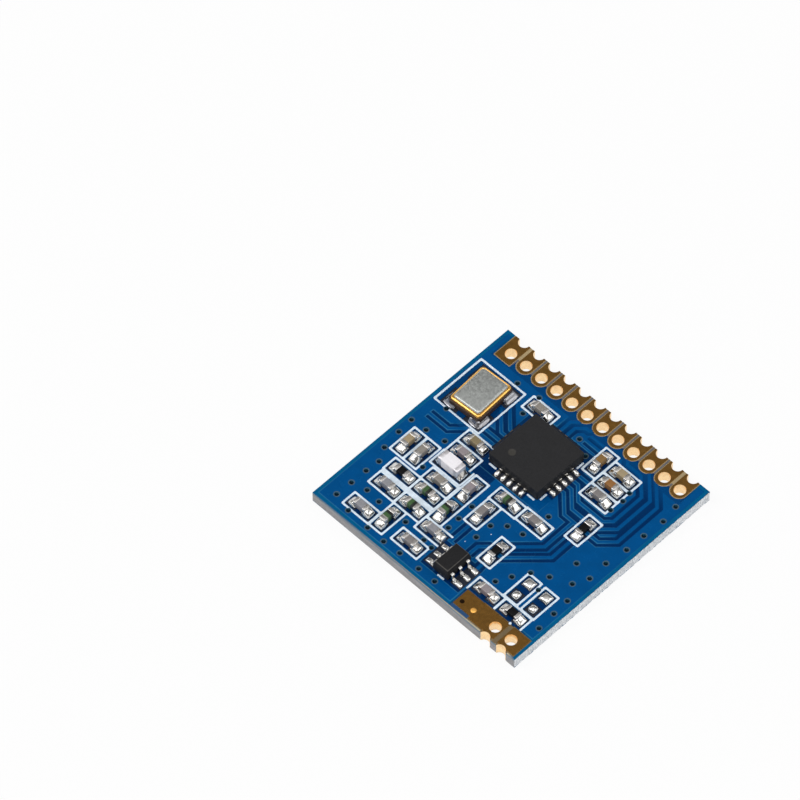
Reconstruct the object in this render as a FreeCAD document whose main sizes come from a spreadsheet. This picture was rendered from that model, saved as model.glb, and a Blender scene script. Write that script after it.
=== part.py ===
# Radio transmitter module: a square circuit board with castellated plated pads along one
# edge, an antenna pad pair at the other, a flat no-lead chip, a crystal, a six-lead switch
# chip and chip-size passives, all soldered on the top side.
# Millimetres. The origin is the middle of the board's underside, +Z is up out of the
# component side, +Y points at the pin row and +X runs along it.

import FreeCAD, Part
import math
import os
import re
import Sketcher
from FreeCAD import Placement, Rotation, Vector

UP = Vector(0, 0, 1)

# Driving sizes: name, millimetres (or a count or degrees), what it measures
DRIVING_SIZES = [
    ("board_length", 16.7, "board along the pin row"),
    ("board_width", 16.6, "board across the pin row"),
    ("core_thickness", 0.8, "glass-epoxy laminate"),
    ("copper_thickness", 0.035, "copper foil with its plating"),
    ("mask_thickness", 0.025, "solder mask over copper"),
    ("ink_thickness", 0.015, "silkscreen ink"),
    ("ink_width", 0.13, "silkscreen line"),
    ("pin_count", 12, "pads in the row"),
    ("pin_pitch", 1.27, "pads in the row, centre to centre"),
    ("row_inset", 1.15, "hole row in from the board edge"),
    ("drill_diameter", 0.82, "drilled holes before plating"),
    ("plating", 0.03, "copper lining of a drilled hole"),
    ("land_width", 1.05, "pin land"),
    ("land_reach", 0.6, "pin land's inner end in from its hole"),
    ("land_corner", 0.3, "cut corners at a pin land's inner end"),
    ("first_land_reach", 0.7, "square first land, from its hole to the inner and outer sides"),
    ("ground_hole_side", 1.11, "ground hole in from the side edge"),
    ("ground_hole_inset", 0.85, "antenna and ground holes in from the edge"),
    ("antenna_notch_offset", 0.12, "antenna notches, centre outside the edge"),
    ("antenna_pad_length", 3.47, "antenna land along the edge"),
    ("antenna_pad_gap", 0.3, "bare laminate between antenna and ground lands"),
    ("antenna_pad_inner", 1.61, "antenna land's inner side in from the edge"),
    ("antenna_pad_outer", 0.15, "antenna land's outer side in from the edge"),
    ("antenna_pad_step", 0.17, "step in the antenna land's outer side"),
    ("antenna_step_length", 1.4, "length of that step"),
    ("ground_pad_side", 0.25, "ground land in from the side edge"),
    ("mask_gap", 0.06, "bare laminate round a land"),
    ("pour_gap", 0.16, "ground pour to the pin lands"),
    ("pour_inset", 0.25, "ground pour in from the board edge"),
    ("trace_width", 0.2, "traces"),
    ("trace_gap", 0.26, "ground pour to the traces"),
    ("window_gap", 0.1, "ground pour to the chips' lands"),
    ("solder_gap", 0.03, "solder between a land and what sits on it"),
    ("chip_length", 4.0, "transmitter chip, both sides"),
    ("chip_height", 0.85, "transmitter chip"),
    ("chip_edge", 0.03, "transmitter chip's top edge"),
    ("chip_pitch", 0.5, "chip terminals, centre to centre"),
    ("chip_side_count", 5, "chip terminals on a side"),
    ("chip_terminal_width", 0.25, "chip terminal"),
    ("chip_terminal_length", 0.45, "chip terminal under the body"),
    ("chip_terminal_height", 0.2, "chip terminal"),
    ("chip_paddle_length", 2.6, "ground paddle under the chip, both sides"),
    ("chip_toe", 0.52, "chip land out from the chip's side"),
    ("crystal_length", 3.2, "crystal can"),
    ("crystal_width", 2.5, "crystal can"),
    ("crystal_base_height", 0.42, "ceramic base"),
    ("crystal_wall", 0.42, "ceramic base round its cavity"),
    ("crystal_floor", 0.16, "ceramic base under its cavity"),
    ("crystal_notch_radius", 0.15, "round notch at each corner of the base"),
    ("ring_height", 0.17, "seal ring"),
    ("ring_margin", 0.07, "seal ring in from the base"),
    ("ring_corner", 0.2, "seal ring's cut corners"),
    ("ring_edge", 0.07, "seal ring's bevelled outer edge"),
    ("lid_margin", 0.14, "lid in from the seal ring"),
    ("lid_height", 0.14, "lid"),
    ("lid_corner", 0.14, "lid's cut corners"),
    ("lid_edge", 0.09, "lid's bevelled edge"),
    ("quartz_thickness", 0.07, "quartz plate"),
    ("quartz_margin", 0.12, "quartz plate to the cavity wall"),
    ("crystal_terminal_length", 0.95, "crystal terminal along the can"),
    ("crystal_terminal_width", 0.8, "crystal terminal across the can"),
    ("crystal_terminal_height", 0.03, "crystal terminal"),
    ("glue_dot_length", 0.3, "glue dot under the quartz plate, both sides"),
    ("glue_dot_height", 0.02, "glue dot"),
    ("crystal_toe", 0.3, "crystal land out from the can's long side"),
    ("crystal_end_toe", 0.21, "crystal land out from the can's short side"),
    ("crystal_heel", 0.1, "crystal land in past its terminal"),
    ("crystal_heap", 0.3, "solder at the can's corners, above the board"),
    ("switch_length", 2.0, "switch chip's body"),
    ("switch_width", 1.25, "switch chip's body"),
    ("switch_height", 0.85, "switch chip's body"),
    ("switch_standoff", 0.1, "switch chip's body above its feet"),
    ("switch_draft", 0.09, "how far the body's sides lean in"),
    ("switch_pitch", 0.65, "switch chip's leads, centre to centre"),
    ("lead_width", 0.22, "switch chip's lead"),
    ("lead_thickness", 0.12, "switch chip's lead"),
    ("lead_span", 2.1, "switch chip over its feet"),
    ("lead_foot", 0.25, "flat foot of a lead"),
    ("lead_knee", 0.1, "a lead's upright part out from the body"),
    ("lead_root", 0.12, "a lead's end inside the body"),
    ("switch_toe", 0.42, "switch land out from a foot"),
    ("switch_heel", 0.05, "switch land in past a foot"),
    ("switch_land_side", 0.06, "switch land out from a lead's side"),
    ("passive_length", 1.0, "chip-size passive"),
    ("passive_width", 0.5, "chip-size passive"),
    ("capacitor_height", 0.5, "capacitor or inductor"),
    ("resistor_height", 0.36, "resistor"),
    ("termination_length", 0.24, "silvered end of a passive"),
    ("termination_skin", 0.015, "how far the silvered end stands out"),
    ("passive_toe", 0.38, "land out from a passive's end"),
    ("passive_heel", 0.26, "land in from a passive's end"),
    ("passive_side", 0.08, "land out from a passive's side"),
    ("choke_length", 1.65, "white choke"),
    ("choke_width", 0.82, "white choke"),
    ("choke_height", 0.78, "white choke"),
    ("choke_end", 0.36, "silvered end of the choke"),
    ("choke_toe", 0.27, "land out from the choke's end"),
    ("choke_frame_margin", 0.415, "ink frame out from the choke's end"),
    ("choke_frame_side", 0.19, "ink frame out from the choke's side"),
    ("frame_margin", 0.56, "ink frame out from a passive's end"),
    ("frame_side", 0.285, "ink frame out from a passive's side"),
    ("tick_length", 0.6, "ink tick along a chip's side"),
    ("tick_away", 0.1, "ink tick out from a chip's side"),
    ("solder_climb", 0.8, "how far solder climbs a silvered end, as a share of its height"),
    ("low_blob", 0.16, "solder on the first land of an empty footprint"),
    ("high_blob", 0.22, "solder on the second land of an empty footprint"),
]

# The parts on the board: name, middle along X and Y from the board's middle, degrees turned,
# and the sides of the ink frame, as left, right, bottom and top on the board
PASSIVES = [
    ("capacitor_01", -2.78, 5.36, 0, "LRT"),
    ("capacitor_02", 2.34, 5.20, 90, "LRBT"),
    ("capacitor_03", 3.96, 5.37, 0, "LRBT"),
    ("capacitor_04", 3.96, 4.35, 0, "LRBT"),
    ("capacitor_05", 3.96, 3.32, 0, "LRBT"),
    ("capacitor_06", 2.53, -0.65, 0, "LRBT"),
    ("capacitor_07", -0.10, -2.31, 90, "LRBT"),
    ("capacitor_08", -3.84, 0.93, 0, "LBT"),
    ("capacitor_09", -3.84, -0.14, 0, "LR"),
    ("capacitor_10", -6.79, -1.78, 90, "LRBT"),
    ("capacitor_11", -5.69, -1.78, 90, "LRBT"),
    ("capacitor_12", -3.47, -2.53, 0, "LRBT"),
    ("capacitor_13", -5.49, -4.90, 0, "LRBT"),
    ("capacitor_14", -1.78, -1.67, 90, "LRT"),
    ("capacitor_15", -1.28, -5.28, 0, "LBT"),
    ("capacitor_16", -5.50, -7.05, 0, "LRBT"),
    ("capacitor_17", -1.70, -6.82, 0, "LRBT"),
    ("capacitor_18", 3.95, -6.12, 0, "LRT"),
    ("resistor_01", 4.93, 1.04, 90, "LRBT"),
    ("resistor_02", 2.36, -3.73, 90, "LRBT"),
    ("resistor_03", -5.53, -3.60, 0, "LRBT"),
    ("resistor_04", 6.10, -6.12, 0, "LRT"),
    ("inductor_01", 0.39, -0.71, 0, "LRBT"),
    ("inductor_02", -3.44, -3.60, 0, "LRBT"),
    ("inductor_03", -3.41, -4.90, 0, "LRBT"),
    ("inductor_04", -1.78, -3.73, 90, "LRB"),
    ("inductor_05", -3.86, -6.50, 90, "LRBT"),
]
EMPTY_FOOTPRINTS = [
    ("empty_01", 5.30, -4.46, 90, "LRBT"),
    ("empty_02", 6.68, -4.48, 90, "LRBT"),
]
CHOKE_PLACE = (-3.71, -1.26)
CHIP_PLACE = (-0.5, 2.65)
CRYSTAL_PLACE = (-6.03, 3.58)
CRYSTAL_TURN = 3.0
CRYSTAL_FRAME = (-7.97, 1.61, -4.30, 5.61)
SWITCH_PLACE = (1.18, -6.21)
SWITCH_TICK = (0.98, -7.29, 1.51, -7.16)
DRILL_SIDES = 8
SMALLEST_ISLAND = 0.06

# The traces that show through the mask: corner points on the board's top
TRACES = [
    [(1.8, 3.15), (2.45, 3.15), (3.3, 2.3), (5.3, 2.3), (5.75, 2.75), (5.75, 5.15), (4.65, 6.25),
     (3.55, 6.25), (3.175, 6.7)],
    [(5.0, 1.62), (5.4, 1.62), (6.3, 2.52), (6.3, 5.3), (4.7, 6.9)],
    [(4.1, 1.05), (6.1, 1.05), (6.92, 1.87), (6.92, 5.25), (5.55, 6.62)],
    [(1.8, 2.65), (2.4, 2.65), (3.4, 1.65), (4.8, 1.65)],
    [(1.8, 2.15), (2.25, 2.15), (3.35, 1.05), (4.1, 1.05), (4.1, -1.4), (2.5, -3.0)],
    [(4.93, 0.5), (4.93, -1.65), (2.88, -3.7), (1.75, -3.7), (1.3, -4.15), (1.3, -4.95)],
    [(1.8, 3.65), (3.2, 3.65), (3.45, 3.4)],
    [(2.36, -4.3), (2.36, -5.5)],
    [(-5.0, 5.0), (-3.15, 3.15), (-2.6, 3.15)],
    [(-4.7, 3.95), (-3.4, 2.65), (-2.6, 2.65)],
    [(-4.95, 2.15), (-2.6, 2.15)],
    [(-7.45, 0.62), (-5.85, 0.62), (-4.95, 1.52)],
    [(-0.635, 6.7), (-0.635, 6.45), (-1.0, 6.085), (-1.0, 4.8)],
    [(0.635, 6.8), (0.25, 6.42), (-0.03, 6.42), (-0.5, 5.95), (-0.5, 4.8)],
    [(2.1, 5.78), (0.55, 5.78)],
    [(-0.1, -2.9), (-0.1, -4.95)],
]

doc = FreeCAD.newDocument("transmitter_module")
sheet = doc.addObject("Spreadsheet::Sheet", "Sizes")
for row, (alias, value, note) in enumerate(DRIVING_SIZES, start=1):
    sheet.set("A%d" % row, note)
    sheet.set("B%d" % row, str(value))
    sheet.setAlias("B%d" % row, alias)
doc.recompute()


def size(alias):
    """One driving size as a plain number."""
    return float(sheet.get(alias))


def bind(obj, bindings):
    """Tie properties to formulas of the driving sizes, such as "board_length / 2 * cos(60)"."""
    for prop, formula in bindings.items():
        obj.setExpression(prop, re.sub(r"[a-z_]{4,}", lambda word: "Sizes." + word.group(0), formula))


def block(name, length, width, height, x, y, z):
    """A box with its low corner at x, y, z, all given as formulas."""
    box = doc.addObject("Part::Box", name)
    bind(box, {"Length": length, "Width": width, "Height": height,
               "Placement.Base.x": x, "Placement.Base.y": y, "Placement.Base.z": z})
    return box


def centred_block(name, length, width, height, z):
    """A box with the middle of its underside at x = y = 0."""
    return block(name, length, width, height, "-(%s) / 2" % length, "-(%s) / 2" % width, z)


def rod(name, radius, height, x, y, z):
    """An upright cylinder, all given as formulas."""
    cylinder = doc.addObject("Part::Cylinder", name)
    bind(cylinder, {"Radius": radius, "Height": height,
                    "Placement.Base.x": x, "Placement.Base.y": y, "Placement.Base.z": z})
    return cylinder


def fuse(name, shapes):
    joined = doc.addObject("Part::MultiFuse", name)
    joined.Shapes = shapes
    return joined


def cut(name, base, tool):
    rest = doc.addObject("Part::Cut", name)
    rest.Base = base
    rest.Tool = tool
    return rest


def common(name, shapes):
    shared = doc.addObject("Part::MultiCommon", name)
    shared.Shapes = shapes
    return shared


def bevel(name, base, width, wanted):
    """Chamfer the edges of base that wanted(edge) picks."""
    doc.recompute()
    chamfer = doc.addObject("Part::Chamfer", name)
    chamfer.Base = base
    chamfer.Edges = [(number, width, width)
                     for number, edge in enumerate(base.Shape.Edges, start=1) if wanted(edge)]
    return chamfer


def feature(name, shape):
    """A sub-part whose shape is worked out from the sheet by functions."""
    obj = doc.addObject("Part::Feature", name)
    obj.Shape = shape
    return obj


# Flat artwork: shapes one millimetre deep that stand on z = 0, in the board's plan

ART_DEPTH = 1
NEARLY = 0.001


def rectangle(x_low, y_low, x_high, y_high):
    return Part.makeBox(x_high - x_low, y_high - y_low, ART_DEPTH, Vector(x_low, y_low, 0))


def outline(corners):
    points = [Vector(x, y, 0) for x, y in corners]
    return Part.Face(Part.makePolygon(points + points[:1])).extrude(UP * ART_DEPTH)


def strip(points, width):
    """A line of even width with mitred corners along points."""
    route = [Vector(x, y, 0) for x, y in points]
    normals = []
    for start, end in zip(route, route[1:]):
        normals.append(UP.cross((end - start).normalize()))
    miters = [normals[0]]
    for before, after in zip(normals, normals[1:]):
        bisector = (before + after).normalize()
        miters.append(bisector * (1 / bisector.dot(after)))
    miters.append(normals[-1])
    left = [point + miter * (width / 2) for point, miter in zip(route, miters)]
    right = [point - miter * (width / 2) for point, miter in zip(route, miters)]
    return outline([(point.x, point.y) for point in left + right[::-1]])


def turned(shape, place, degrees):
    """A copy of a shape made about the origin, turned and moved to its place."""
    moved = shape.copy()
    moved.rotate(Vector(0, 0, 0), UP, degrees)
    moved.translate(Vector(place[0], place[1], 0))
    return moved


def joined(shapes):
    """Overlapping shapes as one, with no seams."""
    return shapes[0].multiFuse(shapes[1:]).removeSplitter()


def layer(artwork, bottom, thickness):
    """The artwork's plan made into a layer of the board."""
    plans = [face.copy() for face in artwork.Faces if face.BoundBox.ZMin > ART_DEPTH - NEARLY]
    for plan in plans:
        plan.translate(Vector(0, 0, bottom - ART_DEPTH))
    return Part.makeCompound([plan.extrude(Vector(0, 0, thickness)) for plan in plans])


# Heights of the board's layers, from the underside up
CORE_BOTTOM = "mask_thickness + copper_thickness"
COPPER_TOP = "mask_thickness + 2 * copper_thickness + core_thickness"
SEAT = COPPER_TOP + " + solder_gap"
core_bottom = size("mask_thickness") + size("copper_thickness")
core_top = core_bottom + size("core_thickness")
copper_top = core_top + size("copper_thickness")
mask_top = copper_top + size("mask_thickness")
seat = copper_top + size("solder_gap")


# Places on the board that the artwork and the lands share
half_length = size("board_length") / 2
half_width = size("board_width") / 2
pin_y = half_width - size("row_inset")
pin_pitch = size("pin_pitch")
pin_count = int(size("pin_count"))
pin_xs = [(number - (pin_count - 1) / 2) * pin_pitch for number in range(pin_count)]
ground_hole_x = half_length - size("ground_hole_side")
antenna_high_x = ground_hole_x - (pin_pitch + size("antenna_pad_gap")) / 2
antenna_low_x = antenna_high_x - size("antenna_pad_length")
ground_low_x = antenna_high_x + size("antenna_pad_gap")
ground_high_x = half_length - size("ground_pad_side")
antenna_outer_y = -half_width + size("antenna_pad_outer")
antenna_inner_y = -half_width + size("antenna_pad_inner")


# Board laminate: a square pad drilled along both edges. Plating hides the drilled walls, so
# they have flat sides.

def plane(body, role):
    return next(item for item in body.Origin.OriginFeatures if item.Role == role)


def sketch_on(body, name, x, y, z="0"):
    """A sketch on the body's XY plane with its own origin at x, y, z."""
    sketch = body.newObject("Sketcher::SketchObject", name)
    sketch.AttachmentSupport = (plane(body, "XY_Plane"), [""])
    sketch.MapMode = "FlatFace"
    bind(sketch, {"AttachmentOffset.Base.x": x, "AttachmentOffset.Base.y": y,
                  "AttachmentOffset.Base.z": z})
    return sketch


def draw_rectangle(sketch, length, width):
    """A rectangle about the sketch's origin, its sides bound to formulas."""
    corners = [Vector(-1, -1, 0), Vector(1, -1, 0), Vector(1, 1, 0), Vector(-1, 1, 0)]
    for start, end in zip(corners, corners[1:] + corners[:1]):
        sketch.addGeometry(Part.LineSegment(start, end))
    for side in range(4):
        sketch.addConstraint(Sketcher.Constraint("Coincident", side, 2, (side + 1) % 4, 1))
    for side in (0, 2):
        sketch.addConstraint(Sketcher.Constraint("Horizontal", side))
    for side in (1, 3):
        sketch.addConstraint(Sketcher.Constraint("Vertical", side))
    sketch.addConstraint(Sketcher.Constraint("Symmetric", 0, 1, 2, 1, -1, 1))
    along = sketch.addConstraint(Sketcher.Constraint("DistanceX", 0, 1, 0, 2, 2.0))
    across = sketch.addConstraint(Sketcher.Constraint("DistanceY", 1, 1, 1, 2, 2.0))
    bind(sketch, {"Constraints[%d]" % along: length, "Constraints[%d]" % across: width})


def draw_drill_wall(sketch):
    """The flat-sided wall of a drilled hole about the sketch's origin, with a corner along X."""
    turn = 2 * math.pi / DRILL_SIDES
    corners = [Vector(math.cos(turn * number), math.sin(turn * number), 0)
               for number in range(DRILL_SIDES)]
    for start, end in zip(corners, corners[1:] + corners[:1]):
        sketch.addGeometry(Part.LineSegment(start, end))
    rim = sketch.addGeometry(Part.Circle(Vector(0, 0, 0), UP, 1), True)
    sketch.addConstraint(Sketcher.Constraint("Coincident", rim, 3, -1, 1))
    for side in range(DRILL_SIDES):
        following = (side + 1) % DRILL_SIDES
        sketch.addConstraint(Sketcher.Constraint("Coincident", side, 2, following, 1))
        sketch.addConstraint(Sketcher.Constraint("PointOnObject", side, 1, rim))
        if following:
            sketch.addConstraint(Sketcher.Constraint("Equal", side, following))
    sketch.addConstraint(Sketcher.Constraint("PointOnObject", 0, 1, -1))
    reach = sketch.addConstraint(Sketcher.Constraint("Radius", rim, 1.0))
    bind(sketch, {"Constraints[%d]" % reach: DRILL_WALL_RADIUS})


def pad(body, name, sketch, length):
    extrusion = body.newObject("PartDesign::Pad", name)
    extrusion.Profile = sketch
    bind(extrusion, {"Length": length})
    return extrusion


def pocket(body, name, sketch):
    """A cut up from the sketch through everything."""
    hollow = body.newObject("PartDesign::Pocket", name)
    hollow.Profile = sketch
    hollow.Reversed = True
    hollow.Type = "ThroughAll"
    return hollow


def cut_upright_edges(body, name, base, width):
    """Bevel every edge of base that runs straight up."""
    doc.recompute()
    dressing = body.newObject("PartDesign::Chamfer", name)
    upright = ["Edge%d" % number for number, edge in enumerate(base.Shape.Edges, start=1)
               if abs(edge.tangentAt(edge.FirstParameter).z) > 1 - NEARLY]
    dressing.Base = (base, upright)
    bind(dressing, {"Size": width})
    return dressing


def drill_row(body, name, x, y, count, pitch):
    """A row of drilled holes from x, y towards +X."""
    sketch = sketch_on(body, name + "_sketch", x, y)
    draw_drill_wall(sketch)
    first = pocket(body, name + "_first", sketch)
    doc.recompute()
    row_pattern = body.newObject("PartDesign::LinearPattern", name + "_row")
    row_pattern.Originals = [first]
    row_pattern.Direction = (sketch, ["H_Axis"])
    bind(row_pattern, {"Length": "(%s - 1) * %s" % (count, pitch), "Occurrences": count})
    body.Tip = row_pattern


DRILL_WALL_RADIUS = "drill_diameter / 2 / cos(180 / %d)" % DRILL_SIDES
FIRST_PIN_X = "-(pin_count - 1) * pin_pitch / 2"
PIN_Y = "board_width / 2 - row_inset"
EDGE_Y = "board_width / 2"
GROUND_HOLE_X = "board_length / 2 - ground_hole_side"
ANTENNA_HOLE_X = GROUND_HOLE_X + " - pin_pitch"
ANTENNA_HOLE_Y = "-board_width / 2 + ground_hole_inset"
ANTENNA_NOTCH_Y = "-board_width / 2 - antenna_notch_offset"

laminate = doc.addObject("PartDesign::Body", "board_laminate")
board_sketch = sketch_on(laminate, "board_outline", "0", "0")
draw_rectangle(board_sketch, "board_length", "board_width")
pad(laminate, "board_core", board_sketch, "core_thickness")
drill_row(laminate, "pin_holes", FIRST_PIN_X, PIN_Y, "pin_count", "pin_pitch")
drill_row(laminate, "pin_notches", FIRST_PIN_X, EDGE_Y, "pin_count", "pin_pitch")
drill_row(laminate, "antenna_holes", ANTENNA_HOLE_X, ANTENNA_HOLE_Y, "2", "pin_pitch")
drill_row(laminate, "antenna_notches", ANTENNA_HOLE_X, ANTENNA_NOTCH_Y, "2", "pin_pitch")
bind(laminate, {"Placement.Base.z": CORE_BOTTOM})


# Plated pads: a land on each face, joined by the linings of a hole and of a notch

LAND_STACK = "core_thickness + 2 * copper_thickness"
BORE_RADIUS = "drill_diameter / 2 - plating"


def plated(label, land, hole_x, hole_y, notch_y, edge_low_y):
    """Take the laminate and both bores out of a land block, and name what is left.

    edge_low_y is the low side of the board strip that holds the notch.
    """
    collar = doc.addObject("Part::Prism", label + "_collar")
    collar.Polygon = DRILL_SIDES
    bind(collar, {"Circumradius": DRILL_WALL_RADIUS, "Height": LAND_STACK, "Placement.Base.x": hole_x,
                  "Placement.Base.y": notch_y, "Placement.Base.z": "mask_thickness"})
    board_strip = block(label + "_strip", "2 * drill_diameter", "drill_diameter", LAND_STACK,
                        hole_x + " - drill_diameter", edge_low_y, "mask_thickness")
    notch_plug = common(label + "_plug", [collar, board_strip])
    blank = fuse(label + "_blank", [land, notch_plug])
    lands = cut(label + "_lands", blank, laminate)
    bores = fuse(label + "_bores", [
        rod(label + "_bore", BORE_RADIUS, LAND_STACK, hole_x, hole_y, "mask_thickness"),
        rod(label + "_notch", BORE_RADIUS, LAND_STACK, hole_x, notch_y, "mask_thickness")])
    return cut(label, lands, bores)


def pin_land(label, x):
    """A pin land: straight sides to the board edge and cut corners at the inner end."""
    tongue = block(label + "_tongue", "land_width", "land_reach + row_inset", LAND_STACK,
                   x + " - land_width / 2", PIN_Y + " - land_reach", "mask_thickness")
    inner_y = pin_y - size("land_reach")
    return bevel(label + "_land", tongue, size("land_corner"),
                 lambda edge: edge.BoundBox.YMax < inner_y + NEARLY and edge.BoundBox.XLength < NEARLY)


pin_pads = []
for number in range(1, int(size("pin_count")) + 1):
    label = "pin_pad_%02d" % number
    pin_x = FIRST_PIN_X + " + %d * pin_pitch" % (number - 1)
    if number == 1:
        land = block(label + "_land", "first_land_reach + land_width / 2",
                     "first_land_reach + row_inset", LAND_STACK, pin_x + " - first_land_reach",
                     PIN_Y + " - first_land_reach", "mask_thickness")
    else:
        land = pin_land(label, pin_x)
    pin_pads.append(plated(label, land, pin_x, PIN_Y, EDGE_Y, EDGE_Y + " - drill_diameter"))

ANTENNA_HIGH_X = "(board_length / 2 - ground_hole_side - (pin_pitch + antenna_pad_gap) / 2)"
GROUND_LOW_X = ANTENNA_HIGH_X + " + antenna_pad_gap"
OUTER_Y = "-board_width / 2 + antenna_pad_outer"
INNER_Y = "-board_width / 2 + antenna_pad_inner"
EDGE_STRIP_Y = "-board_width / 2"

antenna_plate = block("antenna_plate", "antenna_pad_length", "antenna_pad_inner - antenna_pad_outer",
                      LAND_STACK, ANTENNA_HIGH_X + " - antenna_pad_length", OUTER_Y, "mask_thickness")
antenna_step = block("antenna_step", "antenna_step_length", "antenna_pad_step", LAND_STACK,
                     ANTENNA_HIGH_X + " - antenna_pad_length", OUTER_Y, "mask_thickness")
antenna_land = cut("antenna_land", antenna_plate, antenna_step)
ground_land = block("ground_land", "board_length / 2 - ground_pad_side - (" + GROUND_LOW_X + ")",
                    "antenna_pad_inner - antenna_pad_outer", LAND_STACK, GROUND_LOW_X, OUTER_Y,
                    "mask_thickness")
antenna_pad = plated("antenna_pad", antenna_land, ANTENNA_HOLE_X, ANTENNA_HOLE_Y, ANTENNA_NOTCH_Y,
                     EDGE_STRIP_Y)
ground_pad = plated("ground_pad", ground_land, GROUND_HOLE_X, ANTENNA_HOLE_Y, ANTENNA_NOTCH_Y,
                    EDGE_STRIP_Y)
doc.recompute()


# Copper, mask and ink: flat artwork raised into thin layers

def board_flat():
    """The laminate's outline with its holes and notches, as a flat shape."""
    top_faces = [face for face in laminate.Shape.Faces
                 if face.normalAt(0, 0).z > 1 - NEARLY and face.CenterOfMass.z > core_top - NEARLY]
    plan = top_faces[0].copy()
    plan.translate(Vector(0, 0, -core_top))
    return plan.extrude(UP * ART_DEPTH)


def grown_pin_land(number, margin):
    """A pin land grown by margin on the sides away from the board edge."""
    x = pin_xs[number]
    side = size("land_width") / 2 + margin
    if number == 0:
        reach = size("first_land_reach") + margin
        return rectangle(x - reach, pin_y - reach, x + side, half_width)
    inner_y = pin_y - size("land_reach") - margin
    corner = size("land_corner") + margin * (2 - math.sqrt(2))
    return outline([(x - side, half_width), (x - side, inner_y + corner), (x - side + corner, inner_y),
                    (x + side - corner, inner_y), (x + side, inner_y + corner), (x + side, half_width)])


def antenna_openings(margin):
    """Both antenna-side lands grown by margin, and the way from them to the notches."""
    antenna = rectangle(antenna_low_x - margin, antenna_outer_y - margin,
                        antenna_high_x + margin, antenna_inner_y + margin)
    ground = rectangle(ground_low_x - margin, antenna_outer_y - margin,
                       ground_high_x + margin, antenna_inner_y + margin)
    side = size("drill_diameter") / 2 + margin
    ways = [rectangle(x - side, -half_width, x + side, antenna_inner_y)
            for x in (ground_hole_x - pin_pitch, ground_hole_x)]
    return [antenna, ground] + ways


def paired_lands(half_length, toe, heel, side):
    """Two lands about the origin, from their inner ends to past the part's ends."""
    return [rectangle(half_length - heel, -side, half_length + toe, side),
            rectangle(-half_length - toe, -side, heel - half_length, side)]


def passive_lands(margin):
    return paired_lands(size("passive_length") / 2, size("passive_toe") + margin,
                        size("passive_heel") + margin,
                        size("passive_width") / 2 + size("passive_side") + margin)


def choke_lands(margin):
    return paired_lands(size("choke_length") / 2, size("choke_toe") + margin,
                        size("choke_end") + margin, size("choke_width") / 2 + margin)


def chip_offsets():
    """Where the terminals lie along one side of the chip."""
    count = int(size("chip_side_count"))
    return [(number - (count - 1) / 2) * size("chip_pitch") for number in range(count)]


def chip_openings(margin):
    """One long opening over each side's lands and one over the paddle's, about the chip's middle."""
    heel = size("chip_length") / 2 - size("chip_terminal_length") - margin
    toe = size("chip_length") / 2 + size("chip_toe") + margin
    side = chip_offsets()[-1] + size("chip_terminal_width") / 2 + margin
    half_paddle = size("chip_paddle_length") / 2 + margin
    sides = [turned(rectangle(heel, -side, toe, side), (0, 0), quarter * 90) for quarter in range(4)]
    return sides + [rectangle(-half_paddle, -half_paddle, half_paddle, half_paddle)]


def crystal_lands(margin):
    """Four lands under the crystal's corners, about its middle and square to the board."""
    x_high = size("crystal_width") / 2 + size("crystal_toe") + margin
    y_high = size("crystal_length") / 2 + size("crystal_end_toe") + margin
    inward = size("crystal_heel") + margin
    x_low = size("crystal_width") / 2 - size("crystal_terminal_width") - inward
    y_low = size("crystal_length") / 2 - size("crystal_terminal_length") - inward
    return [rectangle(min(a, c), min(b, d), max(a, c), max(b, d))
            for a, c in ((x_low, x_high), (-x_low, -x_high))
            for b, d in ((y_low, y_high), (-y_low, -y_high))]


def switch_offsets():
    return [number * size("switch_pitch") for number in (-1, 0, 1)]


def switch_openings(margin):
    """One long opening over each row of the switch chip's lands."""
    side = switch_offsets()[-1] + size("lead_width") / 2 + size("switch_land_side") + margin
    return paired_lands(size("lead_span") / 2, size("switch_toe") + margin,
                        size("lead_foot") + size("switch_heel") + margin, side)


def solder_openings(margin):
    """Where solder meets the board, with every part's lands in their places."""
    openings = []
    for _, x, y, degrees, _ in PASSIVES + EMPTY_FOOTPRINTS:
        openings += [turned(land, (x, y), degrees) for land in passive_lands(margin)]
    for lands, spot in ((choke_lands, CHOKE_PLACE), (chip_openings, CHIP_PLACE),
                        (crystal_lands, CRYSTAL_PLACE), (switch_openings, SWITCH_PLACE)):
        openings += [turned(land, spot, 0) for land in lands(margin)]
    return openings


def frame_halves(degrees):
    """Half the ink frame of a passive along X and along Y, to the line's middle."""
    along = size("passive_length") / 2 + size("frame_margin")
    across = size("passive_width") / 2 + size("frame_side")
    return (along, across) if degrees == 0 else (across, along)


def choke_frame_halves():
    return (size("choke_length") / 2 + size("choke_frame_margin"),
            size("choke_width") / 2 + size("choke_frame_side"))


def about(spot, half_x, half_y):
    """A rectangle given by its middle and half its sides."""
    return rectangle(spot[0] - half_x, spot[1] - half_y, spot[0] + half_x, spot[1] + half_y)


def pad_windows():
    """Where both pours stay clear of the plated pads."""
    gap = size("pour_gap")
    row_reach = size("first_land_reach") + gap
    return [rectangle(pin_xs[0] - row_reach, pin_y - row_reach,
                      pin_xs[-1] + size("land_width") / 2 + gap, half_width),
            rectangle(antenna_low_x - gap, -half_width, half_length, antenna_inner_y + gap)]


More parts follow.
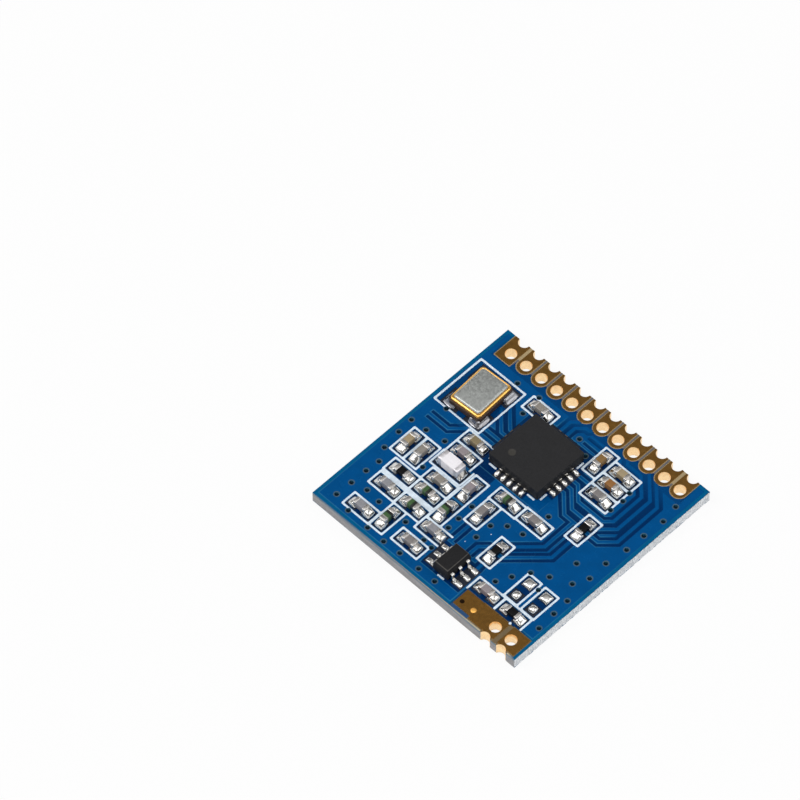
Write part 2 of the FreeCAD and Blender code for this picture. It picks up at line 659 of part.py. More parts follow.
def part_windows():
    """Where the top pour is left out under the parts, inside their ink frames."""
    line = size("ink_width") / 2
    holes = []
    for _, x, y, degrees, _ in PASSIVES + EMPTY_FOOTPRINTS:
        half_x, half_y = frame_halves(degrees)
        holes.append(about((x, y), half_x - line, half_y - line))
    half_x, half_y = choke_frame_halves()
    holes.append(about(CHOKE_PLACE, half_x - line, half_y - line))
    reach = size("chip_length") / 2 + size("chip_toe") + size("window_gap")
    holes.append(about(CHIP_PLACE, reach, reach))
    holes.append(rectangle(*CRYSTAL_FRAME))
    reach = size("lead_span") / 2 + size("switch_toe") + size("window_gap")
    holes.append(about(SWITCH_PLACE, reach, size("switch_length") / 2 + size("window_gap")))
    return holes


board = board_flat()
inset = size("pour_inset")
pour = rectangle(-half_length + inset, -half_width + inset, half_length - inset, half_width - inset)
trace_windows = [strip(points, size("trace_width") + 2 * size("trace_gap")) for points in TRACES]
top_pour = pour.cut(joined(pad_windows() + part_windows() + trace_windows))
pad_lands = [grown_pin_land(number, 0) for number in range(pin_count)] + antenna_openings(0)
traces = joined([strip(points, size("trace_width")) for points in TRACES])
traces = traces.cut(joined(solder_openings(0) + pad_lands))
islands = [island for island in top_pour.fuse(traces).removeSplitter().Solids
           if island.Volume > SMALLEST_ISLAND * ART_DEPTH]
top_artwork = Part.makeCompound(islands)
top_copper = feature("top_copper", layer(top_artwork, core_top, size("copper_thickness")))
bottom_artwork = pour.cut(joined(pad_windows()))
bottom_copper = feature("bottom_copper", layer(bottom_artwork, size("mask_thickness"),
                                               size("copper_thickness")))


def pad_openings():
    """Mask openings over the plated pads; the end pairs share one opening."""
    gap = size("mask_gap")
    openings = [grown_pin_land(number, gap) for number in range(pin_count)]
    for first in (0, pin_count - 2):
        openings.append(rectangle(pin_xs[first], pin_y, pin_xs[first + 1], half_width))
    openings += antenna_openings(gap)
    openings.append(rectangle(antenna_high_x, -half_width, ground_low_x, antenna_inner_y))
    return openings


# The mask lies on the copper and reaches down to the laminate all round it
mask_flat = board.cut(joined(pad_openings()))
top_mask_flat = mask_flat.cut(joined(solder_openings(size("mask_gap"))))
top_mask_body = layer(top_mask_flat, core_top, mask_top - core_top)
top_mask = feature("top_solder_mask", top_mask_body.cut(layer(pour, core_top, size("copper_thickness"))))
bottom_mask_body = layer(mask_flat, 0, core_bottom)
bottom_mask = feature("bottom_solder_mask", bottom_mask_body.cut(bottom_copper.Shape))


def frame_lines(x, y, half_x, half_y, sides, width):
    """The drawn sides of an ink frame."""
    reach_x = half_x + width / 2
    reach_y = half_y + width / 2
    lines = {
        "L": rectangle(x - reach_x, y - reach_y, x - half_x + width / 2, y + reach_y),
        "R": rectangle(x + half_x - width / 2, y - reach_y, x + reach_x, y + reach_y),
        "B": rectangle(x - reach_x, y - reach_y, x + reach_x, y - half_y + width / 2),
        "T": rectangle(x - reach_x, y + half_y - width / 2, x + reach_x, y + reach_y),
    }
    return [lines[side] for side in sides]


def chip_ticks(width):
    """Short ink lines at the chip's corners."""
    away = size("chip_length") / 2 + size("tick_away")
    high_y = away - size("tick_away") - width
    tick = rectangle(away - width / 2, high_y - size("tick_length"), away + width / 2, high_y)
    mirrored = tick.mirror(Vector(0, 0, 0), Vector(0, 1, 0))
    return [turned(shape, CHIP_PLACE, quarter * 90) for quarter in range(4) for shape in (tick, mirrored)]


def ink_artwork():
    width = size("ink_width")
    drawn = []
    for _, x, y, degrees, sides in PASSIVES + EMPTY_FOOTPRINTS:
        half_x, half_y = frame_halves(degrees)
        drawn += frame_lines(x, y, half_x, half_y, sides, width)
    drawn += frame_lines(*CHOKE_PLACE, *choke_frame_halves(), "LRB", width)
    x_low, y_low, x_high, y_high = CRYSTAL_FRAME
    drawn += frame_lines((x_low + x_high) / 2, (y_low + y_high) / 2, (x_high - x_low) / 2,
                         (y_high - y_low) / 2, "LRBT", width)
    x, y = PASSIVES[0][1:3]
    half_x, half_y = frame_halves(0)
    drawn.append(rectangle(x - half_x, y - half_y - width / 2, x, y - half_y + width / 2))
    drawn += chip_ticks(width)
    drawn.append(rectangle(*SWITCH_TICK))
    return joined(drawn)


ink = ink_artwork().cut(joined(solder_openings(size("mask_gap")) + pad_openings()))
silkscreen = feature("silkscreen", layer(ink, mask_top, size("ink_thickness")))


# Transmitter chip: moulded body, terminals flush with its sides and a paddle below

def place(obj, spot, degrees=0, height=SEAT):
    """Turn a finished piece and stand it on its place on the board."""
    obj.Placement = Placement(Vector(spot[0], spot[1], 0), Rotation(UP, degrees))
    bind(obj, {"Placement.Base.z": height})
    return obj


def group(name, members):
    """Separate solids that count as one sub-part."""
    compound = doc.addObject("Part::Compound", name)
    compound.Links = members
    return compound


def chip_terminal(quarter, number):
    """One terminal of the chip, turned to its side."""
    name = "terminal_%d_%d" % (quarter, number)
    offset = "(%d - (chip_side_count - 1) / 2) * chip_pitch" % number
    metal = block(name, "chip_terminal_length", "chip_terminal_width", "chip_terminal_height",
                  "chip_length / 2 - chip_terminal_length", offset + " - chip_terminal_width / 2", "0")
    spot = group(name + "_spot", [metal])
    spot.Placement = Placement(Vector(0, 0, 0), Rotation(UP, quarter * 90))
    return spot


terminal_set = group("terminal_set", [chip_terminal(quarter, number) for quarter in range(4)
                                      for number in range(int(size("chip_side_count")))])
paddle = centred_block("paddle", "chip_paddle_length", "chip_paddle_length",
                       "chip_terminal_height", "0")
chip_block = centred_block("chip_block", "chip_length", "chip_length", "chip_height", "0")
chip_top = bevel("chip_top", chip_block, size("chip_edge"),
                 lambda edge: edge.BoundBox.ZMin > size("chip_height") - NEARLY)
chip_moulding = cut("chip_moulding", chip_top, fuse("chip_hollows", [terminal_set, paddle]))
chip_body = place(group("transmitter_chip_body", [chip_moulding]), CHIP_PLACE)
chip_terminals = place(group("transmitter_chip_terminals", [terminal_set]), CHIP_PLACE)
chip_paddle = place(group("transmitter_chip_paddle", [paddle]), CHIP_PLACE)


# Crystal: a ceramic base with a cavity, a quartz plate, a seal ring and a lid

def bevelled_slab(name, level, width, length, height, corner, edge):
    """A body with cut corners, its underside at level, and a bevelled top edge."""
    body = doc.addObject("PartDesign::Body", name)
    sketch = sketch_on(body, name + "_outline", "0", "0", level)
    draw_rectangle(sketch, width, length)
    slab = pad(body, name + "_slab", sketch, height)
    cornered = cut_upright_edges(body, name + "_corners", slab, corner)
    doc.recompute()
    top = cornered.Shape.BoundBox.ZMax
    rim = ["Edge%d" % number for number, line in enumerate(cornered.Shape.Edges, start=1)
           if line.BoundBox.ZMin > top - NEARLY]
    bevelled = body.newObject("PartDesign::Chamfer", name + "_bevel")
    bevelled.Base = (cornered, rim)
    bind(bevelled, {"Size": edge})
    return body


CAVITY_WIDTH = "crystal_width - 2 * crystal_wall"
CAVITY_LENGTH = "crystal_length - 2 * crystal_wall"
BASE_LEVEL = "crystal_terminal_height"
RING_LEVEL = BASE_LEVEL + " + crystal_base_height"
LID_LEVEL = RING_LEVEL + " + ring_height"
RING_WIDTH = "crystal_width - 2 * ring_margin"
RING_LENGTH = "crystal_length - 2 * ring_margin"

base_block = centred_block("base_block", "crystal_width", "crystal_length", "crystal_base_height",
                           BASE_LEVEL)
cavity = centred_block("cavity", CAVITY_WIDTH, CAVITY_LENGTH, "crystal_base_height",
                       BASE_LEVEL + " + crystal_floor")
corner_notches = [rod("can_notch_%d" % number, "crystal_notch_radius", "crystal_base_height",
                      along + "crystal_width / 2", across + "crystal_length / 2", BASE_LEVEL)
                  for number, (along, across) in enumerate((("", ""), ("-", ""), ("", "-"), ("-", "-")))]
hollow_base = cut("hollow_base", base_block, fuse("base_hollows", corner_notches + [cavity]))

can_ring = bevelled_slab("can_ring", RING_LEVEL, RING_WIDTH, RING_LENGTH, "ring_height",
                        "ring_corner", "ring_edge")
window_sketch = sketch_on(can_ring, "ring_window_outline", "0", "0", RING_LEVEL)
draw_rectangle(window_sketch, CAVITY_WIDTH, CAVITY_LENGTH)
pocket(can_ring, "ring_window", window_sketch)
can_lid = bevelled_slab("can_lid", LID_LEVEL, RING_WIDTH + " - 2 * lid_margin",
                       RING_LENGTH + " - 2 * lid_margin", "lid_height", "lid_corner", "lid_edge")
quartz = centred_block("quartz", CAVITY_WIDTH + " - 2 * quartz_margin",
                       CAVITY_LENGTH + " - 2 * quartz_margin", "quartz_thickness",
                       BASE_LEVEL + " + crystal_floor + glue_dot_height")
glue_dots = [block("glue_dot_%d" % number, "glue_dot_length", "glue_dot_length", "glue_dot_height",
                   low_x, "-(%s) / 2 + quartz_margin" % CAVITY_LENGTH, BASE_LEVEL + " + crystal_floor")
             for number, low_x in enumerate(("(%s) / 2 - quartz_margin - glue_dot_length" % CAVITY_WIDTH,
                                             "-(%s) / 2 + quartz_margin" % CAVITY_WIDTH))]
mounted_quartz = fuse("mounted_quartz", [quartz] + glue_dots)


def crystal_terminal(number, along, across):
    """A flat terminal under one corner of the crystal's base."""
    low_x = "crystal_width / 2 - crystal_terminal_width" if along > 0 else "-crystal_width / 2"
    low_y = "crystal_length / 2 - crystal_terminal_length" if across > 0 else "-crystal_length / 2"
    return block("can_terminal_%d" % number, "crystal_terminal_width", "crystal_terminal_length",
                 "crystal_terminal_height", low_x, low_y, "0")


can_terminals = [crystal_terminal(number, along, across)
                 for number, (along, across) in enumerate(((1, 1), (-1, 1), (-1, -1), (1, -1)))]
crystal_base = place(group("crystal_base", [hollow_base]), CRYSTAL_PLACE, CRYSTAL_TURN)
crystal_ring = place(group("crystal_seal_ring", [can_ring]), CRYSTAL_PLACE, CRYSTAL_TURN)
crystal_lid = place(group("crystal_lid", [can_lid]), CRYSTAL_PLACE, CRYSTAL_TURN)
crystal_quartz = place(group("crystal_quartz_blank", [mounted_quartz]), CRYSTAL_PLACE, CRYSTAL_TURN)
crystal_terminals = place(group("crystal_terminals", can_terminals), CRYSTAL_PLACE, CRYSTAL_TURN)


# Switch chip: a body whose sides lean in and six leads bent down to flat feet

def level_wire(half_x, half_y, z):
    corners = [Vector(-half_x, -half_y, z), Vector(half_x, -half_y, z),
               Vector(half_x, half_y, z), Vector(-half_x, half_y, z)]
    return Part.makePolygon(corners + corners[:1])


def switch_moulding():
    """Two tapered halves that meet at the leads' level."""
    half_x = size("switch_width") / 2
    half_y = size("switch_length") / 2
    bottom = size("switch_standoff")
    middle = bottom + size("switch_height") / 2
    top = bottom + size("switch_height")
    lean = size("switch_draft")
    under = Part.makeLoft([level_wire(half_x - lean / 2, half_y - lean / 2, bottom),
                           level_wire(half_x, half_y, middle)], True, True)
    over = Part.makeLoft([level_wire(half_x, half_y, middle),
                          level_wire(half_x - lean, half_y - lean, top)], True, True)
    return under.fuse(over)


def lead_profile():
    """A lead's side view: out of the body, down to the land and along it, its bends cut off flat."""
    thickness = size("lead_thickness")
    middle = size("switch_standoff") + size("switch_height") / 2
    root_x = size("switch_width") / 2 - size("lead_root")
    outer_x = size("switch_width") / 2 + size("lead_knee") + thickness / 2
    inner_x = outer_x - thickness
    tip_x = size("lead_span") / 2
    heel_x = tip_x - size("lead_foot")
    above = middle + thickness / 2
    below = middle - thickness / 2
    side = [(root_x, above), (outer_x - thickness, above), (outer_x, above - thickness),
            (outer_x, thickness), (tip_x, thickness), (tip_x, 0), (heel_x, 0), (inner_x, thickness),
            (inner_x, below), (root_x, below)]
    points = [Vector(x, 0, z) for x, z in side]
    return Part.Face(Part.makePolygon(points + points[:1]))


def switch_lead(y):
    profile = lead_profile()
    profile.translate(Vector(0, y - size("lead_width") / 2, 0))
    return profile.extrude(Vector(0, size("lead_width"), 0))


def on_seat(shape, spot, degrees=0):
    """A shape made about the origin, stood on its place on the board."""
    stood = turned(shape, spot, degrees)
    stood.translate(Vector(0, 0, seat))
    return stood


leads = [turned(switch_lead(y), (0, 0), half * 180) for half in range(2) for y in switch_offsets()]
moulding = switch_moulding().cut(leads)
switch_body = feature("switch_chip_body", on_seat(moulding, SWITCH_PLACE))
switch_leads = feature("switch_chip_leads", Part.makeCompound([on_seat(lead, SWITCH_PLACE)
                                                               for lead in leads]))


# Passives: a ceramic block with two silvered ends that stand out a little

def chip_passive(label, length, width, height, end_length, spot, degrees):
    """A two-ended chip about its own middle, stood on its lands."""
    skin = "termination_skin"
    core = centred_block(label + "_core", "%s - 2 * %s" % (length, skin), "%s - 2 * %s" % (width, skin),
                         "%s - 2 * %s" % (height, skin), skin)
    ends = [block(label + side, end_length, width, height, low_x, "-%s / 2" % width, "0")
            for side, low_x in (("_east", "%s / 2 - %s" % (length, end_length)),
                                ("_west", "-%s / 2" % length))]
    whole = fuse(label + "_whole", [core] + ends)
    return place(group(label, [whole]), spot, degrees)


passives = []
for label, x, y, degrees, _ in PASSIVES:
    height = "resistor_height" if label.startswith("resistor") else "capacitor_height"
    passives.append(chip_passive(label, "passive_length", "passive_width", height,
                                 "termination_length", (x, y), degrees))
passives.append(chip_passive("choke_01", "choke_length", "choke_width", "choke_height",
                             "choke_end", CHOKE_PLACE, 0))


# Solder: a tinned land for each terminal, with a hollow slope up the metal of its part

# The slope's deepest point, as shares of its run from the toe and of its rise
HOLLOW_RUN = 0.45
HOLLOW_RISE = 0.25
# A blob's shoulder, its height and how far it is drawn in, as shares of the blob's height
SHOULDER_HEIGHT = 0.6
SHOULDER_INSET = 0.25


def solder_on_land(heel, wall, toe, climb, width):
    """Solder along +X: a film from heel to the part's wall, then a hollow slope down to the toe."""
    film = size("copper_thickness") + size("solder_gap")
    crest = film + climb
    side = [(heel, 0), (toe, 0), (toe - (toe - wall) * HOLLOW_RUN, crest * HOLLOW_RISE),
            (wall, crest), (wall, film), (heel, film)]
    points = [Vector(x, -width / 2, z) for x, z in side]
    return Part.Face(Part.makePolygon(points + points[:1])).extrude(Vector(0, width, 0))


def centred_slab(length, width):
    return rectangle(-length / 2, -width / 2, length / 2, width / 2)


def on_board(shape, spot, degrees=0):
    """A shape made about the origin, laid on the laminate."""
    laid = turned(shape, spot, degrees)
    laid.translate(Vector(0, 0, core_top))
    return laid


def both_ends(joint, offset, spot, degrees=0):
    """A joint and its mirror image at the part's other end, offset along the part's side."""
    shifted = joint.copy()
    shifted.translate(Vector(0, offset, 0))
    return [on_board(turned(shifted, (0, 0), half * 180), spot, degrees) for half in range(2)]


def box_wire(box, z, inset=0):
    """The outline of a bounding box's plan, drawn in by inset, at height z."""
    corners = [Vector(box.XMin + inset, box.YMin + inset, z), Vector(box.XMax - inset, box.YMin + inset, z),
               Vector(box.XMax - inset, box.YMax - inset, z), Vector(box.XMin + inset, box.YMax - inset, z)]
    return Part.makePolygon(corners + corners[:1])


def corner_heaps():
    """Solder heaped against the crystal's base at its four corners."""
    half_x = size("crystal_width") / 2 + size("crystal_heel")
    half_y = size("crystal_length") / 2 + size("crystal_heel")
    can = on_seat(centred_slab(size("crystal_width"), size("crystal_length")), CRYSTAL_PLACE, CRYSTAL_TURN)
    heaps = []
    for land in crystal_lands(0):
        crown = land.common(rectangle(-half_x, -half_y, half_x, half_y)).BoundBox
        land_box = land.BoundBox
        heap = Part.makeLoft([box_wire(land_box, 0), box_wire(crown, size("crystal_heap"))], True, True)
        heaps.append(on_board(heap, CRYSTAL_PLACE).cut(can))
    return heaps


def blob(land, rise):
    """A low heap of solder on an empty land, steep at its foot and flat on top."""
    levels = ((0, 0), (rise * SHOULDER_HEIGHT, rise * SHOULDER_INSET), (rise, rise))
    wires = [box_wire(land.BoundBox, z, inset) for z, inset in levels]
    foot = Part.makeLoft(wires[:2], True, True)
    crown = Part.makeLoft(wires[1:], True, True)
    return foot.fuse(crown).removeSplitter()


doc.recompute()
solder = []
half_passive = size("passive_length") / 2
for label, x, y, degrees, _ in PASSIVES:
    body_height = size("resistor_height" if label.startswith("resistor") else "capacitor_height")
    joint = solder_on_land(half_passive - size("passive_heel"), half_passive,
                           half_passive + size("passive_toe"), body_height * size("solder_climb"),
                           size("passive_width"))
    solder += both_ends(joint, 0, (x, y), degrees)
half_choke = size("choke_length") / 2
choke_joint = solder_on_land(half_choke - size("choke_end"), half_choke, half_choke + size("choke_toe"),
                             size("choke_height") * size("solder_climb"), size("choke_width"))
solder += both_ends(choke_joint, 0, CHOKE_PLACE)
half_chip = size("chip_length") / 2
chip_joint = solder_on_land(half_chip - size("chip_terminal_length"), half_chip,
                            half_chip + size("chip_toe"), size("chip_terminal_height"),
                            size("chip_terminal_width"))
for offset in chip_offsets():
    for quarter in (0, 90):
        solder += both_ends(chip_joint, offset, CHIP_PLACE, quarter)
paddle_plan = centred_slab(size("chip_paddle_length"), size("chip_paddle_length"))
paddle_film = layer(paddle_plan, 0, seat - core_top)
solder.append(on_board(paddle_film, CHIP_PLACE))
half_span = size("lead_span") / 2
foot_joint = solder_on_land(half_span - size("lead_foot"), half_span, half_span + size("switch_toe"),
                            size("lead_thickness"), size("lead_width"))
for offset in switch_offsets():
    solder += both_ends(foot_joint, offset, SWITCH_PLACE)
solder += corner_heaps()
for _, x, y, degrees, _ in EMPTY_FOOTPRINTS:
    for land, rise in zip(passive_lands(0), (size("low_blob"), size("high_blob"))):
        solder.append(on_board(blob(land, rise), (x, y), degrees))
solder_joints = feature("solder_joints", Part.makeCompound(solder))


# Check every object, then write each sub-part

SUB_PARTS = [laminate, top_copper, bottom_copper, top_mask, bottom_mask, silkscreen]
SUB_PARTS += pin_pads + [antenna_pad, ground_pad]
SUB_PARTS += [chip_body, chip_terminals, chip_paddle]
SUB_PARTS += [crystal_base, crystal_ring, crystal_lid, crystal_quartz, crystal_terminals]
SUB_PARTS += [switch_body, switch_leads] + passives + [solder_joints]

doc.recompute()
for obj in doc.Objects:
    if "Invalid" in obj.State or "Error" in obj.State:
        raise RuntimeError("%s failed: %s" % (obj.Name, obj.State))
for obj in SUB_PARTS:
    obj.Label = obj.Name
    if obj.Shape.isNull() or not obj.Shape.isValid():
        raise RuntimeError("%s has no valid shape" % obj.Name)

os.makedirs("parts", exist_ok=True)
for obj in SUB_PARTS:
    obj.Shape.exportStep("parts/%s.step" % obj.Label)
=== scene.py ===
import math
import random

import bmesh
import bpy
import numpy as np
from mathutils import Matrix, Vector
from mathutils.geometry import delaunay_2d_cdt


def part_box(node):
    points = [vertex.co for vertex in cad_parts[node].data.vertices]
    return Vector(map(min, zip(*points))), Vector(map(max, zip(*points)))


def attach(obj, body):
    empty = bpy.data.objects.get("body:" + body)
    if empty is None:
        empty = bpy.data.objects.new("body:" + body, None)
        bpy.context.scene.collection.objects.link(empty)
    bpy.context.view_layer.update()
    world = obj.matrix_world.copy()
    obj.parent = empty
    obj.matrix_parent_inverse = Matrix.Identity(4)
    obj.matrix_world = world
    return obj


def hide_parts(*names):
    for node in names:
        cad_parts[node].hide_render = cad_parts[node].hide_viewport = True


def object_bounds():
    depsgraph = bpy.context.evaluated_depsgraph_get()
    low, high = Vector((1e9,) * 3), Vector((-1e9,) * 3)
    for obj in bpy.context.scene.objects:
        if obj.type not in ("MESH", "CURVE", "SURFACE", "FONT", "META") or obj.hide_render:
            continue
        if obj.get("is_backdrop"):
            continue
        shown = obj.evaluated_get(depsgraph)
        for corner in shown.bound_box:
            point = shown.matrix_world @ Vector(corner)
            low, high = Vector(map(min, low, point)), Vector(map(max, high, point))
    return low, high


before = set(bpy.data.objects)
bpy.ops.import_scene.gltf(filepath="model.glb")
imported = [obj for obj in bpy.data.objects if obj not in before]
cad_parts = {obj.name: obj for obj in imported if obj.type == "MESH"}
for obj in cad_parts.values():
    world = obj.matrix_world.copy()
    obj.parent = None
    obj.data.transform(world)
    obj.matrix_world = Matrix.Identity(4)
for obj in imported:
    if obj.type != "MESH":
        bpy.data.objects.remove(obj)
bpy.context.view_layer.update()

# Lengths are in millimetres; MM turns them into metres
MM = 0.001
scene = bpy.context.scene
draw = random.Random(7)


def node_box(node):
    """Lowest and highest corner of a CAD node, in millimetres."""
    low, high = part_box(node)
    return low / MM, high / MM


board_low, board_high = node_box("board_laminate")
CORE_BOTTOM, CORE_TOP = board_low.z, board_high.z
COPPER_TOP = node_box("top_copper")[1].z
MASK_TOP = node_box("top_solder_mask")[1].z
INK_TOP = node_box("silkscreen")[1].z
SEAT = node_box("crystal_terminals")[0].z
lands_left, lands_right = node_box("antenna_pad")[0].x, node_box("ground_pad")[1].x
pins_left, pins_right = node_box("pin_pad_01")[0].x, node_box("pin_pad_12")[1].x
# The y past which the pins' lands lie, and the antenna's and ground's on the other side
PIN_LANDS = 6.3
ANTENNA_LANDS = 6.55
# The x at which the antenna's land steps in from the edge
LAND_STEP = 4.33


# Camera at the photograph's angle

VIEW_AZIMUTH, VIEW_ELEVATION = 44.76, 55.45
VIEW_DISTANCE = 430.0
VIEW_TARGET = Vector((-9.331, 0.051, 0.92))
VIEW_LENS = 323.9


def aim(obj, target, azimuth, elevation, distance):
    """Put obj out from the target at these angles, in degrees, and turn it to look there."""
    azimuth, elevation = math.radians(azimuth), math.radians(elevation)
    away = Vector((math.sin(azimuth) * math.cos(elevation), -math.cos(azimuth) * math.cos(elevation),
                   math.sin(elevation)))
    obj.location = (target + away * distance) * MM
    obj.rotation_mode = "QUATERNION"
    obj.rotation_quaternion = (-away).to_track_quat("-Z", "Y")


def put(name, data):
    """A new object in the scene."""
    obj = bpy.data.objects.new(name, data)
    scene.collection.objects.link(obj)
    return obj


camera = put("camera", bpy.data.cameras.new("camera"))
camera.data.lens = VIEW_LENS
camera.data.sensor_width = 36
camera.data.clip_start = 0.01
camera.data.clip_end = 20
aim(camera, VIEW_TARGET, VIEW_AZIMUTH, VIEW_ELEVATION, VIEW_DISTANCE)
scene.camera = camera
scene.view_settings.view_transform = "Standard"


# Materials: each is a small node graph on the Principled shader

def rgb(red, green, blue):
    """A screen colour, 0 to 255, as the linear colour that nodes take."""
    return tuple(((c / 255 + 0.055) / 1.055) ** 2.4 if c > 10 else c / 255 / 12.92
                 for c in (red, green, blue)) + (1.0,)


class Graph:
    """The nodes of a material or a world."""

    def __init__(self, name, kind="materials"):
        self.owner = getattr(bpy.data, kind).new(name)
        self.owner.use_nodes = True
        self.tree = self.owner.node_tree
        self.shader = self.tree.nodes.get("Principled BSDF")

    def add(self, kind, inputs, **settings):
        node = self.tree.nodes.new(kind)
        for key, value in settings.items():
            setattr(node, key, value)
        for key, value in inputs.items():
            self.feed(node.inputs[key], value)
        return node

    def feed(self, socket, value):
        if isinstance(value, bpy.types.NodeSocket):
            self.tree.links.new(value, socket)
        else:
            socket.default_value = value

    def math(self, operation, *values):
        return self.add("ShaderNodeMath", dict(enumerate(values)), operation=operation).outputs[0]

    def place(self):
        """Object coordinates in millimetres."""
        spot = self.add("ShaderNodeTexCoord", {}).outputs["Object"]
        return self.add("ShaderNodeVectorMath", {0: spot, "Scale": 1 / MM}, operation="SCALE").outputs[0]

    def part(self, vector, axis):
        return self.add("ShaderNodeSeparateXYZ", {0: vector}).outputs[axis]

    def noise(self, per_mm, detail=4.0, stretch=(1, 1, 1)):
        """Noise with this many patches to the millimetre."""
        place = self.add("ShaderNodeVectorMath", {0: self.place(), 1: stretch}, operation="MULTIPLY")
        return self.add("ShaderNodeTexNoise", {"Vector": place.outputs[0], "Scale": per_mm,
                                               "Detail": detail}).outputs["Fac"]

    def span(self, value, low, high, to_low=0, to_high=1):
        """value carried over from low..high to to_low..to_high and held there."""
        return self.add("ShaderNodeMapRange", {"Value": value, "From Min": low, "From Max": high,
                                               "To Min": to_low, "To Max": to_high}).outputs["Result"]

    def patchy(self, per_mm, low, high):
        """A number between low and high, in patches."""
        return self.span(self.noise(per_mm), 0.3, 0.7, low, high)

    def mix(self, factor, first, second, blend="MIX"):
        return self.add("ShaderNodeMix", {0: factor, 6: first, 7: second}, data_type="RGBA",
                        blend_type=blend).outputs[2]

    def attribute(self, name):
        return self.add("ShaderNodeAttribute", {}, attribute_name=name).outputs["Fac"]

    def normal(self, axis):
        """The part of the surface's own normal along an axis, as a length."""
        normal = self.add("ShaderNodeNewGeometry", {}).outputs["Normal"]
        return self.math("ABSOLUTE", self.part(normal, axis))

    def bump(self, height, distance, strength):
        node = self.add("ShaderNodeBump", {"Height": height, "Distance": distance * MM,
                                           "Strength": strength})
        self.feed(self.shader.inputs["Normal"], node.outputs["Normal"])

    def finish(self, colour, roughness, **sockets):
        self.feed(self.shader.inputs["Base Color"], colour)
        self.feed(self.shader.inputs["Roughness"], roughness)
        for key, value in sockets.items():
            self.shader.inputs[key.replace("_", " ")].default_value = value
        return self.owner


def mottled(graph, colour, per_mm, amount):
    """A colour made lighter and darker in patches."""
    shade = graph.patchy(per_mm, 1 - amount, 1 + amount)
    grey = graph.add("ShaderNodeCombineColor", {0: shade, 1: shade, 2: shade}).outputs[0]
    return graph.mix(1.0, colour, grey, "MULTIPLY")


def mask_material():
    """Blue coating: bright over copper, navy over bare laminate, teal along the board's edge."""
    graph = Graph("mask_coat")
    colour = rgb(0, 38, 88)
    # (6, 10, 20) is painted shade in the via holes
    # (70, 146, 180) is a pale teal painted highlight on the foil's edges that run along X
    # (94, 106, 84) is a painted highlight on the edge of each via's copper ring
    for field, shade in (("cover", (0, 74, 134)), ("rim", (0, 98, 146)), ("painted_edge_highlight", (70, 146, 180)),
                         ("ring", (94, 106, 84)), ("painted_via_shade", (6, 10, 20)), ("bare", (190, 176, 146))):
        colour = graph.mix(graph.attribute(field), colour, rgb(*shade))
    colour = mottled(graph, colour, 1.3, 0.07)
    graph.bump(graph.noise(9.0), 0.004, 0.12)
    return graph.finish(colour, graph.patchy(2.5, 0.2, 0.3), Specular_IOR_Level=0.28,
                        Specular_Tint=rgb(90, 215, 255))


def ink_material():
    graph = Graph("printed_ink")
    colour = mottled(graph, rgb(222, 236, 248), 5.0, 0.1)
    graph.bump(graph.noise(22.0), 0.004, 0.5)
    return graph.finish(colour, graph.patchy(8.0, 0.45, 0.65))


def gold_material():
    """Thin gold over copper: pale on upright faces such as the bores, with a painted dark reflection
    making the flat faces of the lands dark brown.
    """
    graph = Graph("gold_plate")
    flat = graph.span(graph.normal("Z"), 0.2, 0.7)
    # flat faces get the brown painted dark reflection; upright faces keep the gold's pale colour
    colour = graph.mix(flat, rgb(252, 216, 164), rgb(142, 103, 50))
    colour = mottled(graph, colour, 4.0, 0.12)
    graph.bump(graph.noise(14.0, 2.0), 0.003, 0.15)
    return graph.finish(colour, graph.patchy(6.0, 0.2, 0.34), Metallic=1.0)


def laminate_material():
    """Glass-epoxy: beige by the lands, painted shade in the small openings elsewhere, pale fibres on the
    sawn side.
    """
    graph = Graph("glass_epoxy")
    layers = graph.noise(4.0, 5.0, (0.25, 0.25, 6.0))
    fibres = graph.noise(11.0, 6.0, (1.0, 1.0, 0.35))
    sawn = graph.mix(graph.span(fibres, 0.35, 0.65), rgb(198, 204, 210), rgb(244, 246, 248))
    routed = graph.mix(graph.span(layers, 0.35, 0.65), rgb(132, 131, 132), rgb(166, 165, 168))
    x, y, z = (graph.part(graph.place(), axis) for axis in "XYZ")
    by_foil = graph.span(z, CORE_TOP - 0.22, CORE_TOP - 0.05, 0, 0.8)
    routed = graph.mix(by_foil, routed, rgb(78, 116, 138))
    side = graph.mix(graph.span(graph.normal("X"), 0.3, 0.5), routed, sawn)
    by_pins = graph.span(y, PIN_LANDS, PIN_LANDS + 0.1)
    low_side = graph.span(y, -ANTENNA_LANDS, -ANTENNA_LANDS - 0.1)
    by_antenna = graph.span(x, lands_left - 0.2, lands_left - 0.1, 0, low_side)
    # (12, 22, 40) is painted shade in the small openings; beige by the pins' lands
    face = graph.mix(by_pins, rgb(12, 22, 40), rgb(164, 144, 106))
    past_step = graph.span(x, LAND_STEP - 0.02, LAND_STEP + 0.02)
    face = graph.mix(by_antenna, face, graph.mix(past_step, rgb(18, 70, 118), rgb(112, 94, 64)))
    colour = graph.mix(graph.span(graph.normal("Z"), 0.4, 0.6), side, face)
    graph.bump(fibres, 0.03, 0.8)
    return graph.finish(mottled(graph, colour, 1.5, 0.06), graph.span(layers, 0.3, 0.7, 0.6, 0.85))


